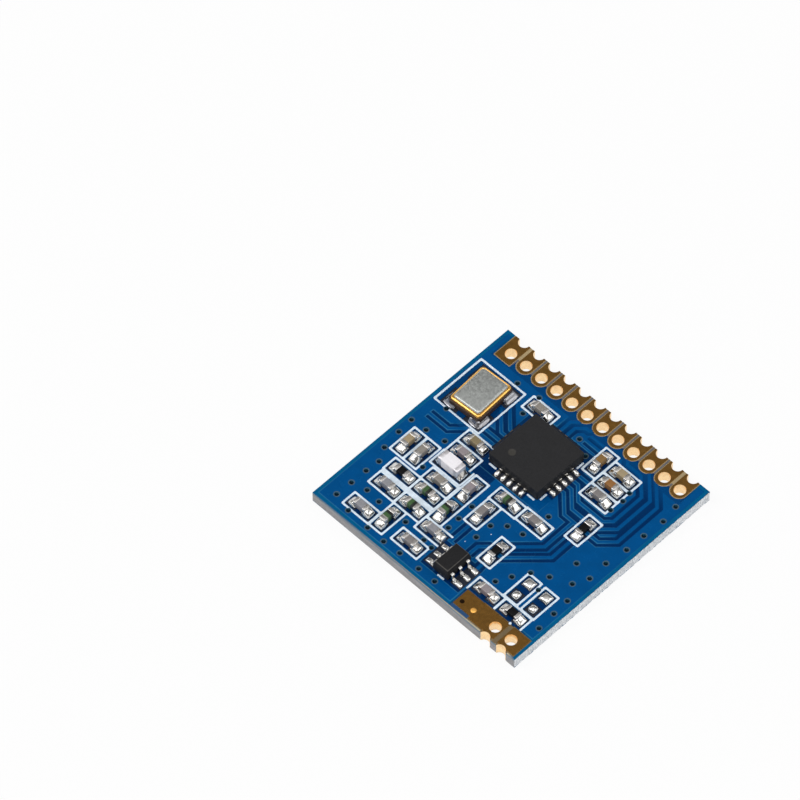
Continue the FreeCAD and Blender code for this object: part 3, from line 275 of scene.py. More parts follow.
def moulding_material(name, shade, mark_or_highlight_lift):
    """Black moulding with a fine matt grain, lighter on the chip's round mark and with a painted highlight
    on the switch's top edge.
    """
    graph = Graph(name)
    grain = graph.noise(26.0, 6.0)
    colour = graph.mix(graph.span(grain, 0.3, 0.7), rgb(shade - 9, shade - 9, shade - 7),
                       rgb(shade + 12, shade + 12, shade + 14))
    light = rgb(shade + mark_or_highlight_lift, shade + mark_or_highlight_lift - 2, shade + mark_or_highlight_lift - 6)
    colour = graph.mix(graph.attribute("mark_or_edge_highlight"), colour, light)
    graph.bump(grain, 0.008, 0.6)
    gloss = graph.patchy(5.0, 0.55, 0.7)
    return graph.finish(mottled(graph, colour, 1.2, 0.08), gloss, Specular_IOR_Level=0.3)


def metal_material(name, colour, roughness, ripple=0.35, patches=6.0):
    """Bright metal with uneven gloss."""
    graph = Graph(name)
    graph.bump(graph.noise(patches * 2), 0.01, ripple)
    gloss = graph.patchy(patches, roughness * 0.7, roughness * 1.4)
    return graph.finish(mottled(graph, colour, patches, 0.08), gloss, Metallic=1.0)


def ceramic_material(name, colour, roughness=0.4, speckle=0.1, specular=0.5):
    """Fired ceramic or glaze with fine speckles."""
    graph = Graph(name)
    graph.bump(graph.noise(18.0), 0.006, 0.4)
    gloss = graph.patchy(6.0, roughness * 0.8, roughness * 1.25)
    return graph.finish(mottled(graph, colour, 9.0, speckle), gloss, Specular_IOR_Level=specular)


# Plan outlines read from the CAD nodes, and what is worked out from them

def sides_of(loop):
    """Each side of a loop, as its two ends."""
    return zip(loop, loop[1:] + loop[:1])


def corners_of(loop):
    """Each point of a loop, between the one before it and the one after."""
    return zip(loop[-1:] + loop[:-1], loop, loop[1:] + loop[:1])


def plan_loops(node, height, side):
    """The outlines of a node's faces at a height that look up (side 1) or down (side -1)."""
    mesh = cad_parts[node].data
    spots = [tuple(round(c / MM, 4) for c in vertex.co) for vertex in mesh.vertices]
    edges = set()
    for face in mesh.polygons:
        corners = [spots[v] for v in face.vertices]
        if face.normal.z * side > 0.9 and all(abs(c[2] - height) < 0.002 for c in corners):
            edges.update(sides_of([c[:2] for c in corners][::side]))
    following = {}
    for start, end in sorted(edges):
        if (end, start) not in edges and start != end:
            following.setdefault(start, []).append(end)
    loops = []
    while following:
        start = next(iter(following))
        loop = [start]
        while loop[-1] in following:
            ends = following[loop[-1]]
            loop.append(ends.pop())
            if not ends:
                del following[loop[-2]]
            if loop[-1] == start:
                break
        loops.append(straightened([Vector(p) for p in loop[:-1]]))
    return [loop for loop in loops if len(loop) > 2]


def straightened(loop):
    """The loop without points that lie on a straight run."""
    kept = []
    for before, here, after in corners_of(loop):
        into, out = (here - before).normalized(), (after - here).normalized()
        if abs(into.x * out.y - into.y * out.x) > 0.002:
            kept.append(here)
    return kept


def offset(loop, step):
    """The loop moved to its left, which is inwards round an area, with mitred corners."""
    moved = []
    for before, here, after in corners_of(loop):
        first, second = (here - before).normalized(), (after - here).normalized()
        left = Vector((-first.y - second.y, first.x + second.x))
        moved.append(here + left * (step / max(1 + first.dot(second), 0.4)))
    return moved


def softened(loop, radius, steps=3, beyond=None):
    """The loop with its corners rounded: all of them, or the blunt ones past the y of beyond."""
    rounded = []
    for before, here, after in corners_of(loop):
        into, out = here - before, after - here
        reach = min(radius, 0.45 * into.length, 0.45 * out.length)
        bend = into.normalized().dot(out.normalized())
        if bend > 0.9 or beyond and (here.y < beyond or bend < 0.5):
            rounded.append(here)
            continue
        start, end = here - into.normalized() * reach, here + out.normalized() * reach
        for step in range(steps + 1):
            share = step / steps
            rounded.append(start.lerp(here, share).lerp(here.lerp(end, share), share))
    return rounded


FRAY_STEP = 0.14
FRAY_DEPTH = 0.03


def frayed(loop):
    """The loop with a ragged line where it runs along the board's sawn +X side."""
    torn = []
    for here, after in sides_of(loop):
        torn.append(here)
        if min(here.x, after.x) > board_high.x - 0.01 and abs(after.y - here.y) > 2 * FRAY_STEP:
            count = int(abs(after.y - here.y) / FRAY_STEP)
            for k in range(1, count):
                spot = here.lerp(after, (k + draw.uniform(-0.3, 0.3)) / count)
                torn.append(Vector((spot.x - draw.uniform(0, FRAY_DEPTH), spot.y)))
    return torn


def circle(spot, radius, count=20):
    return [Vector((spot[0] + radius * math.cos(2 * math.pi * k / count),
                    spot[1] + radius * math.sin(2 * math.pi * k / count))) for k in range(count)]


def box_loop(low, high):
    """A rectangle between two corners."""
    return [Vector(low), Vector((high[0], low[1])), Vector(high), Vector((low[0], high[1]))]


# Places worked out at a time
BATCH = 500


def segments(loops):
    """The loops' sides: an array of their starts and one of their ends."""
    return np.array([side for loop in loops for side in sides_of(loop)], float).swapaxes(0, 1)


def inside(points, loops):
    """Which points lie in the area of the loops, holes left out."""
    starts, ends = segments(loops)
    found = np.zeros(len(points), bool)
    for first in range(0, len(points), BATCH):
        x, y = points[first:first + BATCH, :1], points[first:first + BATCH, 1:2]
        crosses = (starts[:, 1] > y) != (ends[:, 1] > y)
        with np.errstate(divide="ignore", invalid="ignore"):
            share = (y - starts[:, 1]) / (ends[:, 1] - starts[:, 1])
            crossing = starts[:, 0] + share * (ends[:, 0] - starts[:, 0])
        found[first:first + BATCH] = (crosses & (x < crossing)).sum(1) % 2 == 1
    return found


def distance(points, loops):
    """How far each point is from the loops' lines."""
    starts, ends = segments(loops)
    runs = ends - starts
    lengths = np.maximum((runs ** 2).sum(1), 1e-12)
    nearest = np.zeros(len(points))
    for first in range(0, len(points), BATCH):
        away = points[first:first + BATCH, None, :] - starts
        share = np.clip((away * runs).sum(2) / lengths, 0, 1)
        nearest[first:first + BATCH] = np.sqrt(((away - share[:, :, None] * runs) ** 2).sum(2)).min(1)
    return nearest


def away_from(spots, plan):
    """How far each place is from a spot, or the nearest of several."""
    return np.sqrt(((plan[:, None, :] - np.array(spots)) ** 2).sum(2)).min(1)


def smooth(value, low, high):
    """0 below low, 1 above high and an even curve between."""
    share = np.clip((value - low) / (high - low), 0, 1)
    return share * share * (3 - 2 * share)


def flat_at(z):
    """A surface of one height, for plate."""
    return lambda plan: np.full(len(plan), z)


def store(mesh, label, values):
    """Keep a number for each vertex, for the material."""
    mesh.attributes.new(label, "FLOAT", "POINT").data.foreach_set("value", values)


def smoothed(mesh, angle):
    """An object of the mesh, smooth up to an angle in degrees."""
    mesh.polygons.foreach_set("use_smooth", [True] * len(mesh.polygons))
    mesh.set_sharp_from_angle(angle=math.radians(angle))
    return put(mesh.name, mesh)


def plate(name, area, guides, top, bottom, fields=None, left_out=None):
    """A thin closed piece over an area, whose top and bottom are functions of the plan.

    guides are loops that its surface bends along, fields are numbers that its material reads, and
    left_out tells which places are cut away.
    """
    points, edges = [], []
    for loop in area + guides:
        edges += sides_of(list(range(len(points), len(points) + len(loop))))
        points += loop
    spots, _, faces = delaunay_2d_cdt(points, edges, [], 0, 1e-5)[:3]
    plan = np.array([(p.x, p.y) for p in spots])
    middles = np.array([plan[list(face)].mean(0) for face in faces])
    kept = inside(middles, area)
    if left_out:
        kept &= ~left_out(middles)
    faces = [face for face, keep in zip(faces, kept) if keep]
    used = sorted({v for face in faces for v in face})
    renumber = {v: k for k, v in enumerate(used)}
    plan = plan[used]
    faces = [[renumber[v] for v in face] for face in faces]
    count = len(plan)
    upper = np.c_[plan, top(plan)]
    lower = np.c_[plan, bottom(plan)]
    directed = {side for face in faces for side in sides_of(face)}
    walls = [(a, b) for a, b in sorted(directed) if (b, a) not in directed]
    shell = [tuple(f) for f in faces] + [tuple(v + count for v in reversed(f)) for f in faces]
    shell += [(b, a, a + count, b + count) for a, b in walls]
    mesh = bpy.data.meshes.new(name)
    mesh.from_pydata((np.r_[upper, lower] * MM).tolist(), [], shell)
    for label, field in (fields or {}).items():
        store(mesh, label, np.tile(field(plan), 2))
    mesh.update()
    piece = smoothed(mesh, 40)
    piece.modifiers.new("flat_faces_stay_flat", "WEIGHTED_NORMAL").keep_sharp = True
    return piece


def dressed(piece, material, slot, *nodes):
    """Give a piece its material, put it under the root and hide the CAD nodes that it stands for; slot is
    not used.
    """
    piece.data.materials.clear()
    piece.data.materials.append(material)
    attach(piece, "root")
    if nodes:
        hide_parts(*nodes)
    return piece


# Building blocks for the pieces

def from_bmesh(name, bm, angle=35):
    """An object of what was built in bm, which is freed."""
    mesh = bpy.data.meshes.new(name)
    bmesh.ops.recalc_face_normals(bm, faces=bm.faces)
    bm.to_mesh(mesh)
    bm.free()
    return smoothed(mesh, angle)


def stand(spot, z, degrees=0, along_y=0.0):
    """Moves what is made in millimetres about the origin along Y, turns it and puts it at a spot."""
    return (Matrix.Scale(MM, 4) @ Matrix.Translation((spot[0], spot[1], z))
            @ Matrix.Rotation(math.radians(degrees), 4, "Z") @ Matrix.Translation((0, along_y, 0)))


def soft_block(bm, low, high, radius, matrix):
    """A block with all its edges rounded."""
    low, high = Vector(low), Vector(high)
    centre, half = (low + high) / 2, (high - low) / 2
    made = bmesh.ops.create_cube(bm, size=2)["verts"]
    for vertex in made:
        vertex.co = centre + Vector(a * b for a, b in zip(vertex.co, half))
    edges = list({edge for vertex in made for edge in vertex.link_edges})
    before = set(bm.verts) - set(made)
    bmesh.ops.bevel(bm, geom=edges, offset=radius, segments=3, profile=0.5, affect="EDGES")
    bmesh.ops.transform(bm, matrix=matrix, verts=[v for v in bm.verts if v not in before])


# The signs of a rectangle's corners, a quarter turn apart
CORNERS = ((1, 1), (-1, 1), (-1, -1), (1, -1))


def level(half, inset, radius, z, steps=5, bitten=False):
    """A rectangle's outline at height z, with round corners or a round bite out of each."""
    points = []
    back = inset if bitten else inset + radius
    for quarter, (sx, sy) in enumerate(CORNERS):
        middle = Vector((sx * (half.x - back), sy * (half.y - back), z))
        for step in range(steps + 1):
            turn = math.pi / 2 * (quarter + (3 - step / steps if bitten else step / steps))
            points.append(middle + Vector((math.cos(turn), math.sin(turn), 0)) * radius)
    return points


def skin(bm, levels, matrix):
    """Join rings of points into a body, with its ends closed."""
    rings = [[bm.verts.new(matrix @ point) for point in points] for points in levels]
    for lower, upper in zip(rings, rings[1:]):
        for (a, b), (over_a, over_b) in zip(sides_of(lower), sides_of(upper)):
            bm.faces.new((a, b, over_b, over_a))
    bm.faces.new(rings[0][::-1])
    bm.faces.new(rings[-1])


def round_edges(obj, width, **settings):
    """Round an object's sharp edges a little."""
    bevel = obj.modifiers.new("edges", "BEVEL")
    bevel.width = width * MM
    bevel.segments = 2
    bevel.limit_method = "ANGLE"
    for key, value in settings.items():
        setattr(bevel, key, value)


# Board coatings: foil, the mask with its relief and vias, and ink

VIAS = [
    (-5.19, 5.86), (-3.54, 6.01), (-3.44, 4.53), (-5.72, 5.51), (0.24, 5.57), (1.33, 4.94), (1.91, 4.26),
    (5.03, 4.86), (5.15, 4.18), (5.06, 3.21), (7.64, 6.09), (7.84, 4.82), (7.73, 3.27), (7.69, 1.84),
    (7.49, 0.29), (6.26, -0.92), (7.54, -1.14), (7.08, -2.13), (5.79, -2.72), (7.70, -3.19), (4.21, -4.27),
    (3.75, -5.18), (4.81, -3.30), (5.97, -3.84), (7.76, -4.39), (7.85, -5.73), (2.79, 0.29), (2.58, -1.67),
    (1.53, -1.90), (0.80, -2.58), (0.77, -3.75), (-0.92, -2.38), (-0.89, -3.54), (-0.87, -4.43),
    (-1.28, -6.06), (-0.58, -6.14), (-2.95, -5.91), (-5.08, -6.00), (-6.16, -5.91), (-7.20, -6.18),
    (-7.24, -7.39), (-5.93, -7.72), (-4.26, -7.78), (-2.90, -7.81), (-1.64, -7.72), (-0.08, -7.72),
    (1.21, -7.69), (-7.18, -4.97), (-7.10, -3.96), (-7.59, -3.02), (-7.77, -1.62), (-7.85, -0.47),
    (-6.71, -0.38), (-5.35, -0.18), (-4.98, -2.43), (-6.93, 1.57),
]
# Vias: radii of hole, lip and faint ring of painted highlight, and the mask's dip
VIA_HOLE = 0.125
VIA_LIP = 0.17
VIA_RING = 0.235
VIA_DEPTH = 0.05
# The mask's slope on both sides of a foil edge, and its drop
SLOPE_TOP = 0.02
SLOPE_FOOT = 0.05
GAP_DROP = 0.02
RIM_ROLL = 0.03
RIM_DROP = 0.012
# The strip without foil along the board's edges, and the round of the pins' openings
EDGE_STRIP = 0.27
LAND_ROUND = 0.3
# Shares of colour: haze behind the pins' lands, a painted highlight on foil edges that run along X, dams
# between the lands
PIN_HAZE = 0.6
EDGE_HIGHLIGHT_SHARE = 0.35
EDGE_HIGHLIGHT_REACH = 0.045
DAM_GREY = 0.28
# Where the colour departs from the artwork: two corners, and 1 for copper or 0 for none
PATCHES = [((-2.7, -0.6), (-1.3, 0.6), 0.0), ((0.8, -0.1), (2.2, 1.3), 1.0),
           ((-7.9, 1.2), (-4.3, 5.9), 0.45)]
PATCH_SOFT = 0.04


def coating(side):
    """Mask and foil on one face of the board: side 1 is the top."""
    face = "top" if side > 0 else "bottom"
    mask_node, foil_node = face + "_solder_mask", face + "_copper"
    outer = MASK_TOP if side > 0 else node_box(mask_node)[0].z
    foil = COPPER_TOP if side > 0 else node_box(foil_node)[0].z
    core = CORE_TOP if side > 0 else CORE_BOTTOM
    mask_area = [frayed(softened(loop, LAND_ROUND, 5, PIN_LANDS))
                 for loop in plan_loops(mask_node, outer, side)]
    foil_area = plan_loops(foil_node, foil, side)
    vias = np.array(VIAS)
    vias = vias[inside(vias, mask_area) & (distance(vias, mask_area) > VIA_HOLE)]

    def over_copper(plan):
        """1 over copper, 0 over bare laminate."""
        signed = distance(plan, foil_area) * np.where(inside(plan, foil_area), 1, -1)
        return smooth(signed, -SLOPE_FOOT, SLOPE_TOP)

    def cover(plan):
        """Copper under the coat, with a haze behind the pins' lands and the patches."""
        past_lands = plan[:, 1] - PIN_LANDS
        haze = smooth(past_lands, -0.5, -0.1) * (1 - smooth(past_lands, 0.4, 0.6))
        shown = np.maximum(over_copper(plan), PIN_HAZE * haze)
        for low, high, share in PATCHES if side > 0 else ():
            within = np.minimum(plan - low, np.array(high) - plan).min(1)
            blend = smooth(within, -PATCH_SOFT, PATCH_SOFT)
            # A share between only lightens the artwork
            if share in (0.0, 1.0):
                shown = shown + (share - shown) * blend
            else:
                shown = np.maximum(shown, share * blend)
        return shown

    runs = [[start, end] for loop in foil_area for start, end in sides_of(loop)
            if abs(end.y - start.y) < 0.1 * abs(end.x - start.x)]

    def painted_edge_highlight(plan):
        """Painted highlight on the coat's slope along the copper's edges that run along X."""
        near = 1 - smooth(distance(plan, runs), 0.01, EDGE_HIGHLIGHT_REACH)
        return EDGE_HIGHLIGHT_SHARE * near * (plan[:, 1] < PIN_LANDS - 0.5)

    def surface(plan):
        """The coat is high over copper, rolls down at its rims and dips into the vias."""
        drop = GAP_DROP * (1 - over_copper(plan))
        drop += RIM_DROP * (1 - smooth(distance(plan, mask_area), 0, RIM_ROLL))
        drop += (VIA_DEPTH - drop) * (1 - smooth(away_from(vias, plan), VIA_HOLE * 0.6, VIA_LIP))
        return outer - side * drop

    def rim(plan):
        """The board's edge strip, where no lands are."""
        x, y = plan.T
        reach = np.minimum(board_high.x - np.abs(x), np.where(x < lands_left, y - board_low.y, 1))
        reach = np.minimum(reach, np.where((x < pins_left) | (x > pins_right), board_high.y - y, 1))
        return 0.75 * (1 - smooth(reach, EDGE_STRIP - 0.04, EDGE_STRIP + 0.02)) * (1 - over_copper(plan))

    def bare(plan):
        """The sliver by the antenna's land at the edge and the dams between the pins' lands."""
        x, y = plan.T
        sliver = (x > LAND_STEP) & (x < lands_right) & (y < board_low.y + EDGE_STRIP)
        dams = (x > pins_left) & (x < pins_right) & (y > PIN_LANDS + 0.6)
        return np.where(sliver, 1.0, DAM_GREY * dams)

    # Painted highlight round each via, on the edge of its copper ring
    def ring(plan):
        away = away_from(vias, plan)
        return smooth(away, VIA_HOLE, VIA_LIP) * (1 - smooth(away, VIA_LIP, VIA_RING)) * 0.7

    # Painted shade filling each via's hole
    def painted_via_shade(plan):
        return 1 - smooth(away_from(vias, plan), VIA_HOLE, VIA_HOLE + 0.03)

    guides = [offset(loop, step) for loop in foil_area
              for step in (EDGE_HIGHLIGHT_REACH, SLOPE_TOP, 0.0, -SLOPE_FOOT / 2, -SLOPE_FOOT)]
    guides += [offset(loop, RIM_ROLL) for loop in mask_area]
    guides += [offset(box_loop(low, high), step)
               for low, high, _ in PATCHES for step in (PATCH_SOFT, -PATCH_SOFT)]
    guides += [circle(spot, radius) for spot in vias
               for radius in (VIA_HOLE * 0.6, VIA_HOLE, VIA_HOLE + 0.03, VIA_LIP, VIA_RING)]
    upper, lower = (surface, flat_at(core)) if side > 0 else (flat_at(core), surface)
    mask = plate(face + "_mask_coat", mask_area, guides, upper, lower,
                 {"cover": cover, "rim": rim, "ring": ring, "painted_via_shade": painted_via_shade, "bare": bare, "painted_edge_highlight": painted_edge_highlight})
    dressed(mask, MASK, "solder_mask", mask_node)
    under = plate(face + "_foil", foil_area, [circle(spot, VIA_LIP) for spot in vias],
                  flat_at(max(foil, core)), flat_at(min(foil, core)),
                  left_out=lambda plan: away_from(vias, plan) < VIA_LIP)
    dressed(under, COPPER, "copper", foil_node)
    return surface, guides, vias


MASK = mask_material()
COPPER = metal_material("foil_tinned", rgb(112, 104, 96), 0.35)
INK = ink_material()
GOLD = gold_material()

top_surface, top_guides, top_vias = coating(1)
coating(-1)

INK_HEIGHT = INK_TOP - MASK_TOP
INK_CORNER = 0.09
INK_ROLL = 0.02
# How far the ink's underside lies in the mask
INK_SINK = 0.005
# Two rows of frames share one broad band of ink
BAND_LOW, BAND_HIGH = (-6.6, -4.3), (-2.4, -4.2)
ink_area = [softened(loop, INK_CORNER) for loop in plan_loops("silkscreen", INK_TOP, 1)]
ink_area.append(box_loop(BAND_LOW, BAND_HIGH))


def ink_top(plan, within, low, high):
    """The ink's surface, rolled down at its rim; within is how far in from the rim a place is."""
    return top_surface(plan) + INK_HEIGHT * smooth(within, low, high)


def ink_bottom(plan):
    return top_surface(plan) - INK_SINK


ink = plate("printed_frames", ink_area, [offset(loop, INK_ROLL) for loop in ink_area] + top_guides,
            lambda plan: ink_top(plan, distance(plan, ink_area), -INK_ROLL, INK_ROLL), ink_bottom,
            left_out=lambda plan: away_from(top_vias, plan) < VIA_LIP)
dressed(ink, INK, "ink", "silkscreen")

# Spots of ink: place and radius
INK_SPOTS = {"dot": ((6.40, -6.665), 0.09), "speck_01": ((1.265, -2.995), 0.035),
             "speck_02": ((0.515, -4.435), 0.03)}
for name, (spot, radius) in INK_SPOTS.items():
    dot = plate("printed_" + name, [circle(spot, radius)], [circle(spot, radius * 0.6)],
                lambda plan: ink_top(plan, radius - away_from(spot, plan), -0.01, 0.03), ink_bottom)
    dressed(dot, INK, "ink")


# CAD nodes that keep their shape

# Edges that turn by more than this are rounded on the lands
LAND_TURN = math.radians(50)
LAND_EDGE = 0.012
# Corners nearer than this, in metres, are one
SAME_SPOT = 1e-7
STRAIGHT = math.radians(1)


def paint(node, material):
    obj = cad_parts[node]
    obj.data.materials.clear()
    obj.data.materials.append(material)
    return obj


TIN = metal_material("tinned", rgb(212, 208, 204), 0.24)
for node in ("antenna_pad", "ground_pad"):
    pad = paint(node, GOLD)
    pad.modifiers.new("weld", "WELD").merge_threshold = SAME_SPOT
    flat = pad.modifiers.new("flat", "DECIMATE")
    flat.decimate_type = "DISSOLVE"
    flat.angle_limit = STRAIGHT
    round_edges(pad, LAND_EDGE, angle_limit=LAND_TURN, use_clamp_overlap=False, harden_normals=True)
for node in ("transmitter_chip_terminals", "transmitter_chip_paddle", "crystal_terminals"):
    paint(node, TIN)
paint("crystal_quartz_blank", ceramic_material("quartz_plate", rgb(214, 218, 222), 0.3))


# Two vias in the antenna land: one open, its hole painted as dark shade, one filled and domed

LAND_TOP = node_box("antenna_pad")[1].z
# How far each stands proud and is sunk in
VIA_STEP = 0.01
VIA_SINK = 0.004
# Name, place, radius, how far its middle rises, and its metal's colour and roughness
# rgb(44, 30, 20) is painted shade for the open via's hole
LAND_VIAS = (("open", (3.335, -7.545), 0.15, -0.009, (rgb(44, 30, 20), 0.5)),
             ("filled", (4.245, -7.525), 0.18, 0.02, (rgb(255, 196, 104), 0.55)))
for name, spot, radius, rise, metal in LAND_VIAS:
    def land_via_top(plan):
        within = radius - away_from(spot, plan)
        return LAND_TOP + VIA_STEP * smooth(within, 0, 0.02) + rise * smooth(within, 0.02, 0.06)

    via = plate("antenna_via_" + name, [circle(spot, radius)],
                [circle(spot, radius * share) for share in (0.85, 0.7, 0.4)],
                land_via_top, flat_at(LAND_TOP - VIA_SINK))
    dressed(via, metal_material(name + "_via_gold", *metal), "gold_plating")


# Pin pads: the CAD pads with their blunted land corners made round

PAD_ROUND = 0.2
# How far a blunted corner turns, in radians
BLUNT_FROM, BLUNT_TO = 0.6, 0.95


def blunt_corner(edge):
    """True for the upright edges that blunt a land's inner corners."""
    start, end = (vertex.co / MM for vertex in edge.verts)
    upright = (start - end).xy.length < 0.001 and abs(start.z - end.z) < COPPER_TOP - CORE_TOP + 0.01
    return upright and edge.is_manifold and BLUNT_FROM < edge.calc_face_angle() < BLUNT_TO


for number in range(1, 13):
    node = "pin_pad_%02d" % number
    bm = bmesh.new()
    bm.from_mesh(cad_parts[node].data)
    bmesh.ops.remove_doubles(bm, verts=bm.verts, dist=SAME_SPOT)
    bmesh.ops.dissolve_limit(bm, angle_limit=STRAIGHT, verts=bm.verts, edges=bm.edges)
    bmesh.ops.bevel(bm, geom=[edge for edge in bm.edges if blunt_corner(edge)], offset=PAD_ROUND * MM,
                    segments=5, profile=0.5, affect="EDGES")
    pad = from_bmesh(node + "_round", bm)
    round_edges(pad, LAND_EDGE, angle_limit=LAND_TURN, use_clamp_overlap=False)
    dressed(pad, GOLD, "gold_plating", node)


# Board core, torn on its sawn +X side

TEAR_ROWS = 6
TEAR_DEPTH = 0.045
core_area = [frayed(loop) for loop in plan_loops("board_laminate", CORE_TOP, 1)]
core = plate("glass_epoxy_core", core_area, [], flat_at(CORE_TOP), flat_at(CORE_BOTTOM))
bm = bmesh.new()
bm.from_mesh(core.data)
sawn = [edge for edge in bm.edges
        if min(v.co.x for v in edge.verts) > (board_high.x - 2 * TEAR_DEPTH) * MM
        and abs(edge.verts[0].co.z - edge.verts[1].co.z) > 0.5 * MM]
made = bmesh.ops.subdivide_edges(bm, edges=sawn, cuts=TEAR_ROWS, use_grid_fill=True)["geom_inner"]
for vertex in made:
    if isinstance(vertex, bmesh.types.BMVert):
        vertex.co.x = min(vertex.co.x, board_high.x * MM) - draw.uniform(0, TEAR_DEPTH) * MM
bm.to_mesh(core.data)
bm.free()
dressed(core, laminate_material(), "laminate", "board_laminate")


# Solder: a smooth mound on each land

SOLDER = metal_material("solder_metal", rgb(222, 220, 216), 0.14, 0.5, 3.0)

# The solder between a land and what sits on it
FILM = SEAT - CORE_TOP


def mound(bm, matrix, low, high, half_width, height, cells=14, corner=0.5):
    """Solder on a land from x low to high; height(x, y) is its surface, corner draws its corners in."""
    middle, half = (low + high) / 2, (high - low) / 2
    grid = {}
    for i in range(cells + 1):
        for j in range(cells + 1):
            s, t = (math.sin(math.pi / 2 * (2 * k / cells - 1)) for k in (i, j))
            x = middle + half * s * math.sqrt(1 - corner * t * t / 2)
            y = half_width * t * math.sqrt(1 - corner * s * s / 2)
            foot = 1 - max(abs(s), abs(t)) ** 10
            grid[i, j] = bm.verts.new(matrix @ Vector((x, y, max(height(x, y), 0.002) * foot)))
    for i in range(cells):
        for j in range(cells):
            bm.faces.new((grid[i, j], grid[i + 1, j], grid[i + 1, j + 1], grid[i, j + 1]))
    border = [grid[i, 0] for i in range(cells)] + [grid[cells, j] for j in range(cells)]
    border += [grid[i, cells] for i in range(cells, 0, -1)] + [grid[0, j] for j in range(cells, 0, -1)]
    bm.faces.new(border[::-1])


def fillet(wall, half_width, toe, climb, fullness):
    """Solder that climbs the end of a part, hollow or full; the part's end is at x = wall."""
    def height(x, y):
        along = min(max(x - wall, 0) / toe, 1)
        hollow, full = (1 - along) ** 2.2, math.sqrt(1 - along ** 2.4)
        crown = math.sqrt(1 - min(abs(y) / half_width, 1) ** 3)
        behind = 1 - 0.5 * min(max(wall - x, 0) / 0.15, 1)
        return FILM * 0.7 + climb * (hollow + (full - hollow) * fullness) * crown * behind
    return height


def soldered(name, bm, metal=SOLDER):
    dressed(from_bmesh(name + "_solder", bm, 60), metal, "solder", "solder_joints")


# A passive's silvered ends
END_SKIN = 0.015
END_LENGTH = 0.24


def footprint(node):
    """A passive's length, width, height, middle, foot and turn."""
    low, high = node_box(node)
    size = high - low
    turn = 0 if size.x > size.y else 90
    length, width = (size.x, size.y) if turn == 0 else (size.y, size.x)
    return length, width, size.z, (low + high) / 2, low.z, turn


def passive(node, material, slot):
    """A chip-size part: a ceramic body, two silvered ends and solder up to them."""
    length, width, height, middle, foot, turn = footprint(node)
    at = stand(middle, foot, turn)
    half_x, half_y = length / 2 - 0.05, width / 2 - END_SKIN
    bm = bmesh.new()
    soft_block(bm, (-half_x, -half_y, END_SKIN), (half_x, half_y, height - END_SKIN), 0.025, at)
    body = dressed(from_bmesh(node + "_body", bm), material, slot, node)
    bm = bmesh.new()
    for sign in (1, -1):
        inner = length / 2 - END_LENGTH + draw.uniform(-0.03, 0.02)
        low_x, high_x = sorted((sign * inner, sign * length / 2))
        soft_block(bm, (low_x, -width / 2, 0), (high_x, width / 2, height), 0.045, at)
    dressed(from_bmesh(node + "_ends", bm), TIN, "termination", node)
    solder_up(node)
    return body


def solder_up(node, toe=0.42, side=0.12, share=1.0):
    """Solder on both lands of a two-ended part, which reach past its ends and sides."""
    length, width, height, middle, _, turn = footprint(node)
    bm = bmesh.new()
    for half in (0, 180):
        at = stand(middle, CORE_TOP, turn + half)
        climb = height * share * draw.uniform(0.62, 0.88)
        fullness = draw.uniform(0.2, 0.9)
        mound(bm, at, length / 2 - 0.29, length / 2 + toe, width / 2 + side,
              fillet(length / 2, width / 2 + side, toe * 0.97, climb, fullness))
    soldered(node, bm)


# The capacitors' ceramics: colour, slot and the parts made of it
CERAMICS = {
    "warm_grey": ((140, 134, 126), "grey", ("01", "11", "12")),
    "dim_grey": ((126, 121, 120), "grey", ("05", "06", "07", "17")),
    "cool_grey": ((140, 140, 145), "grey", ("13", "15", "16")),
    "rosy_grey": ((144, 135, 138), "grey", ("09", "14", "18")),
    "sand": ((160, 143, 112), "tan", ("03", "10")),
    "khaki": ((132, 118, 88), "tan", ("08",)),
    "brown": ((132, 100, 54), "tan", ("02",)),
    "orange_brown": ((144, 98, 48), "tan", ("04",)),
}
for name, (colour, slot, members) in CERAMICS.items():
    ceramic = ceramic_material("capacitor_" + name, rgb(*colour))
    for number in members:
        passive("capacitor_" + number, ceramic, "capacitor_" + slot)


# An inductor's green band, as shares of its length from its middle; past it is painted shade
GREEN_FROM, GREEN_TO = -0.18, 0.05


def inductor_material():
    """Pale ceramic with a green window and a band of painted shade beside it."""
    graph = Graph("inductor_ceramic_coat")
    along = graph.attribute("along")
    past_green = graph.span(along, GREEN_TO, GREEN_TO + 0.02)
    past_pale = graph.span(along, GREEN_FROM - 0.02, GREEN_FROM)
    # past the green window, (20, 24, 20) is painted shade
    green_then_painted_shade = graph.mix(past_green, rgb(60, 92, 50), rgb(20, 24, 20))
    colour = graph.mix(past_pale, rgb(158, 156, 148), green_then_painted_shade)
    graph.bump(graph.noise(18.0), 0.006, 0.4)
    gloss = graph.patchy(6.0, 0.25, 0.4)
    return graph.finish(mottled(graph, colour, 9.0, 0.14), gloss)


INDUCTOR = inductor_material()
for number in range(1, 6):
    node = "inductor_%02d" % number
    body = passive(node, INDUCTOR, "inductor_ceramic")
    length, _, _, middle, _, turn = footprint(node)
    axis = 0 if turn == 0 else 1
    store(body.data, "along", [(v.co[axis] / MM - middle[axis]) / length for v in body.data.vertices])

RESISTOR = ceramic_material("resistor_glaze_coat", rgb(12, 12, 13), 0.35, 0.2, 0.15)
for number in range(1, 5):
    passive("resistor_%02d" % number, RESISTOR, "resistor_glaze")

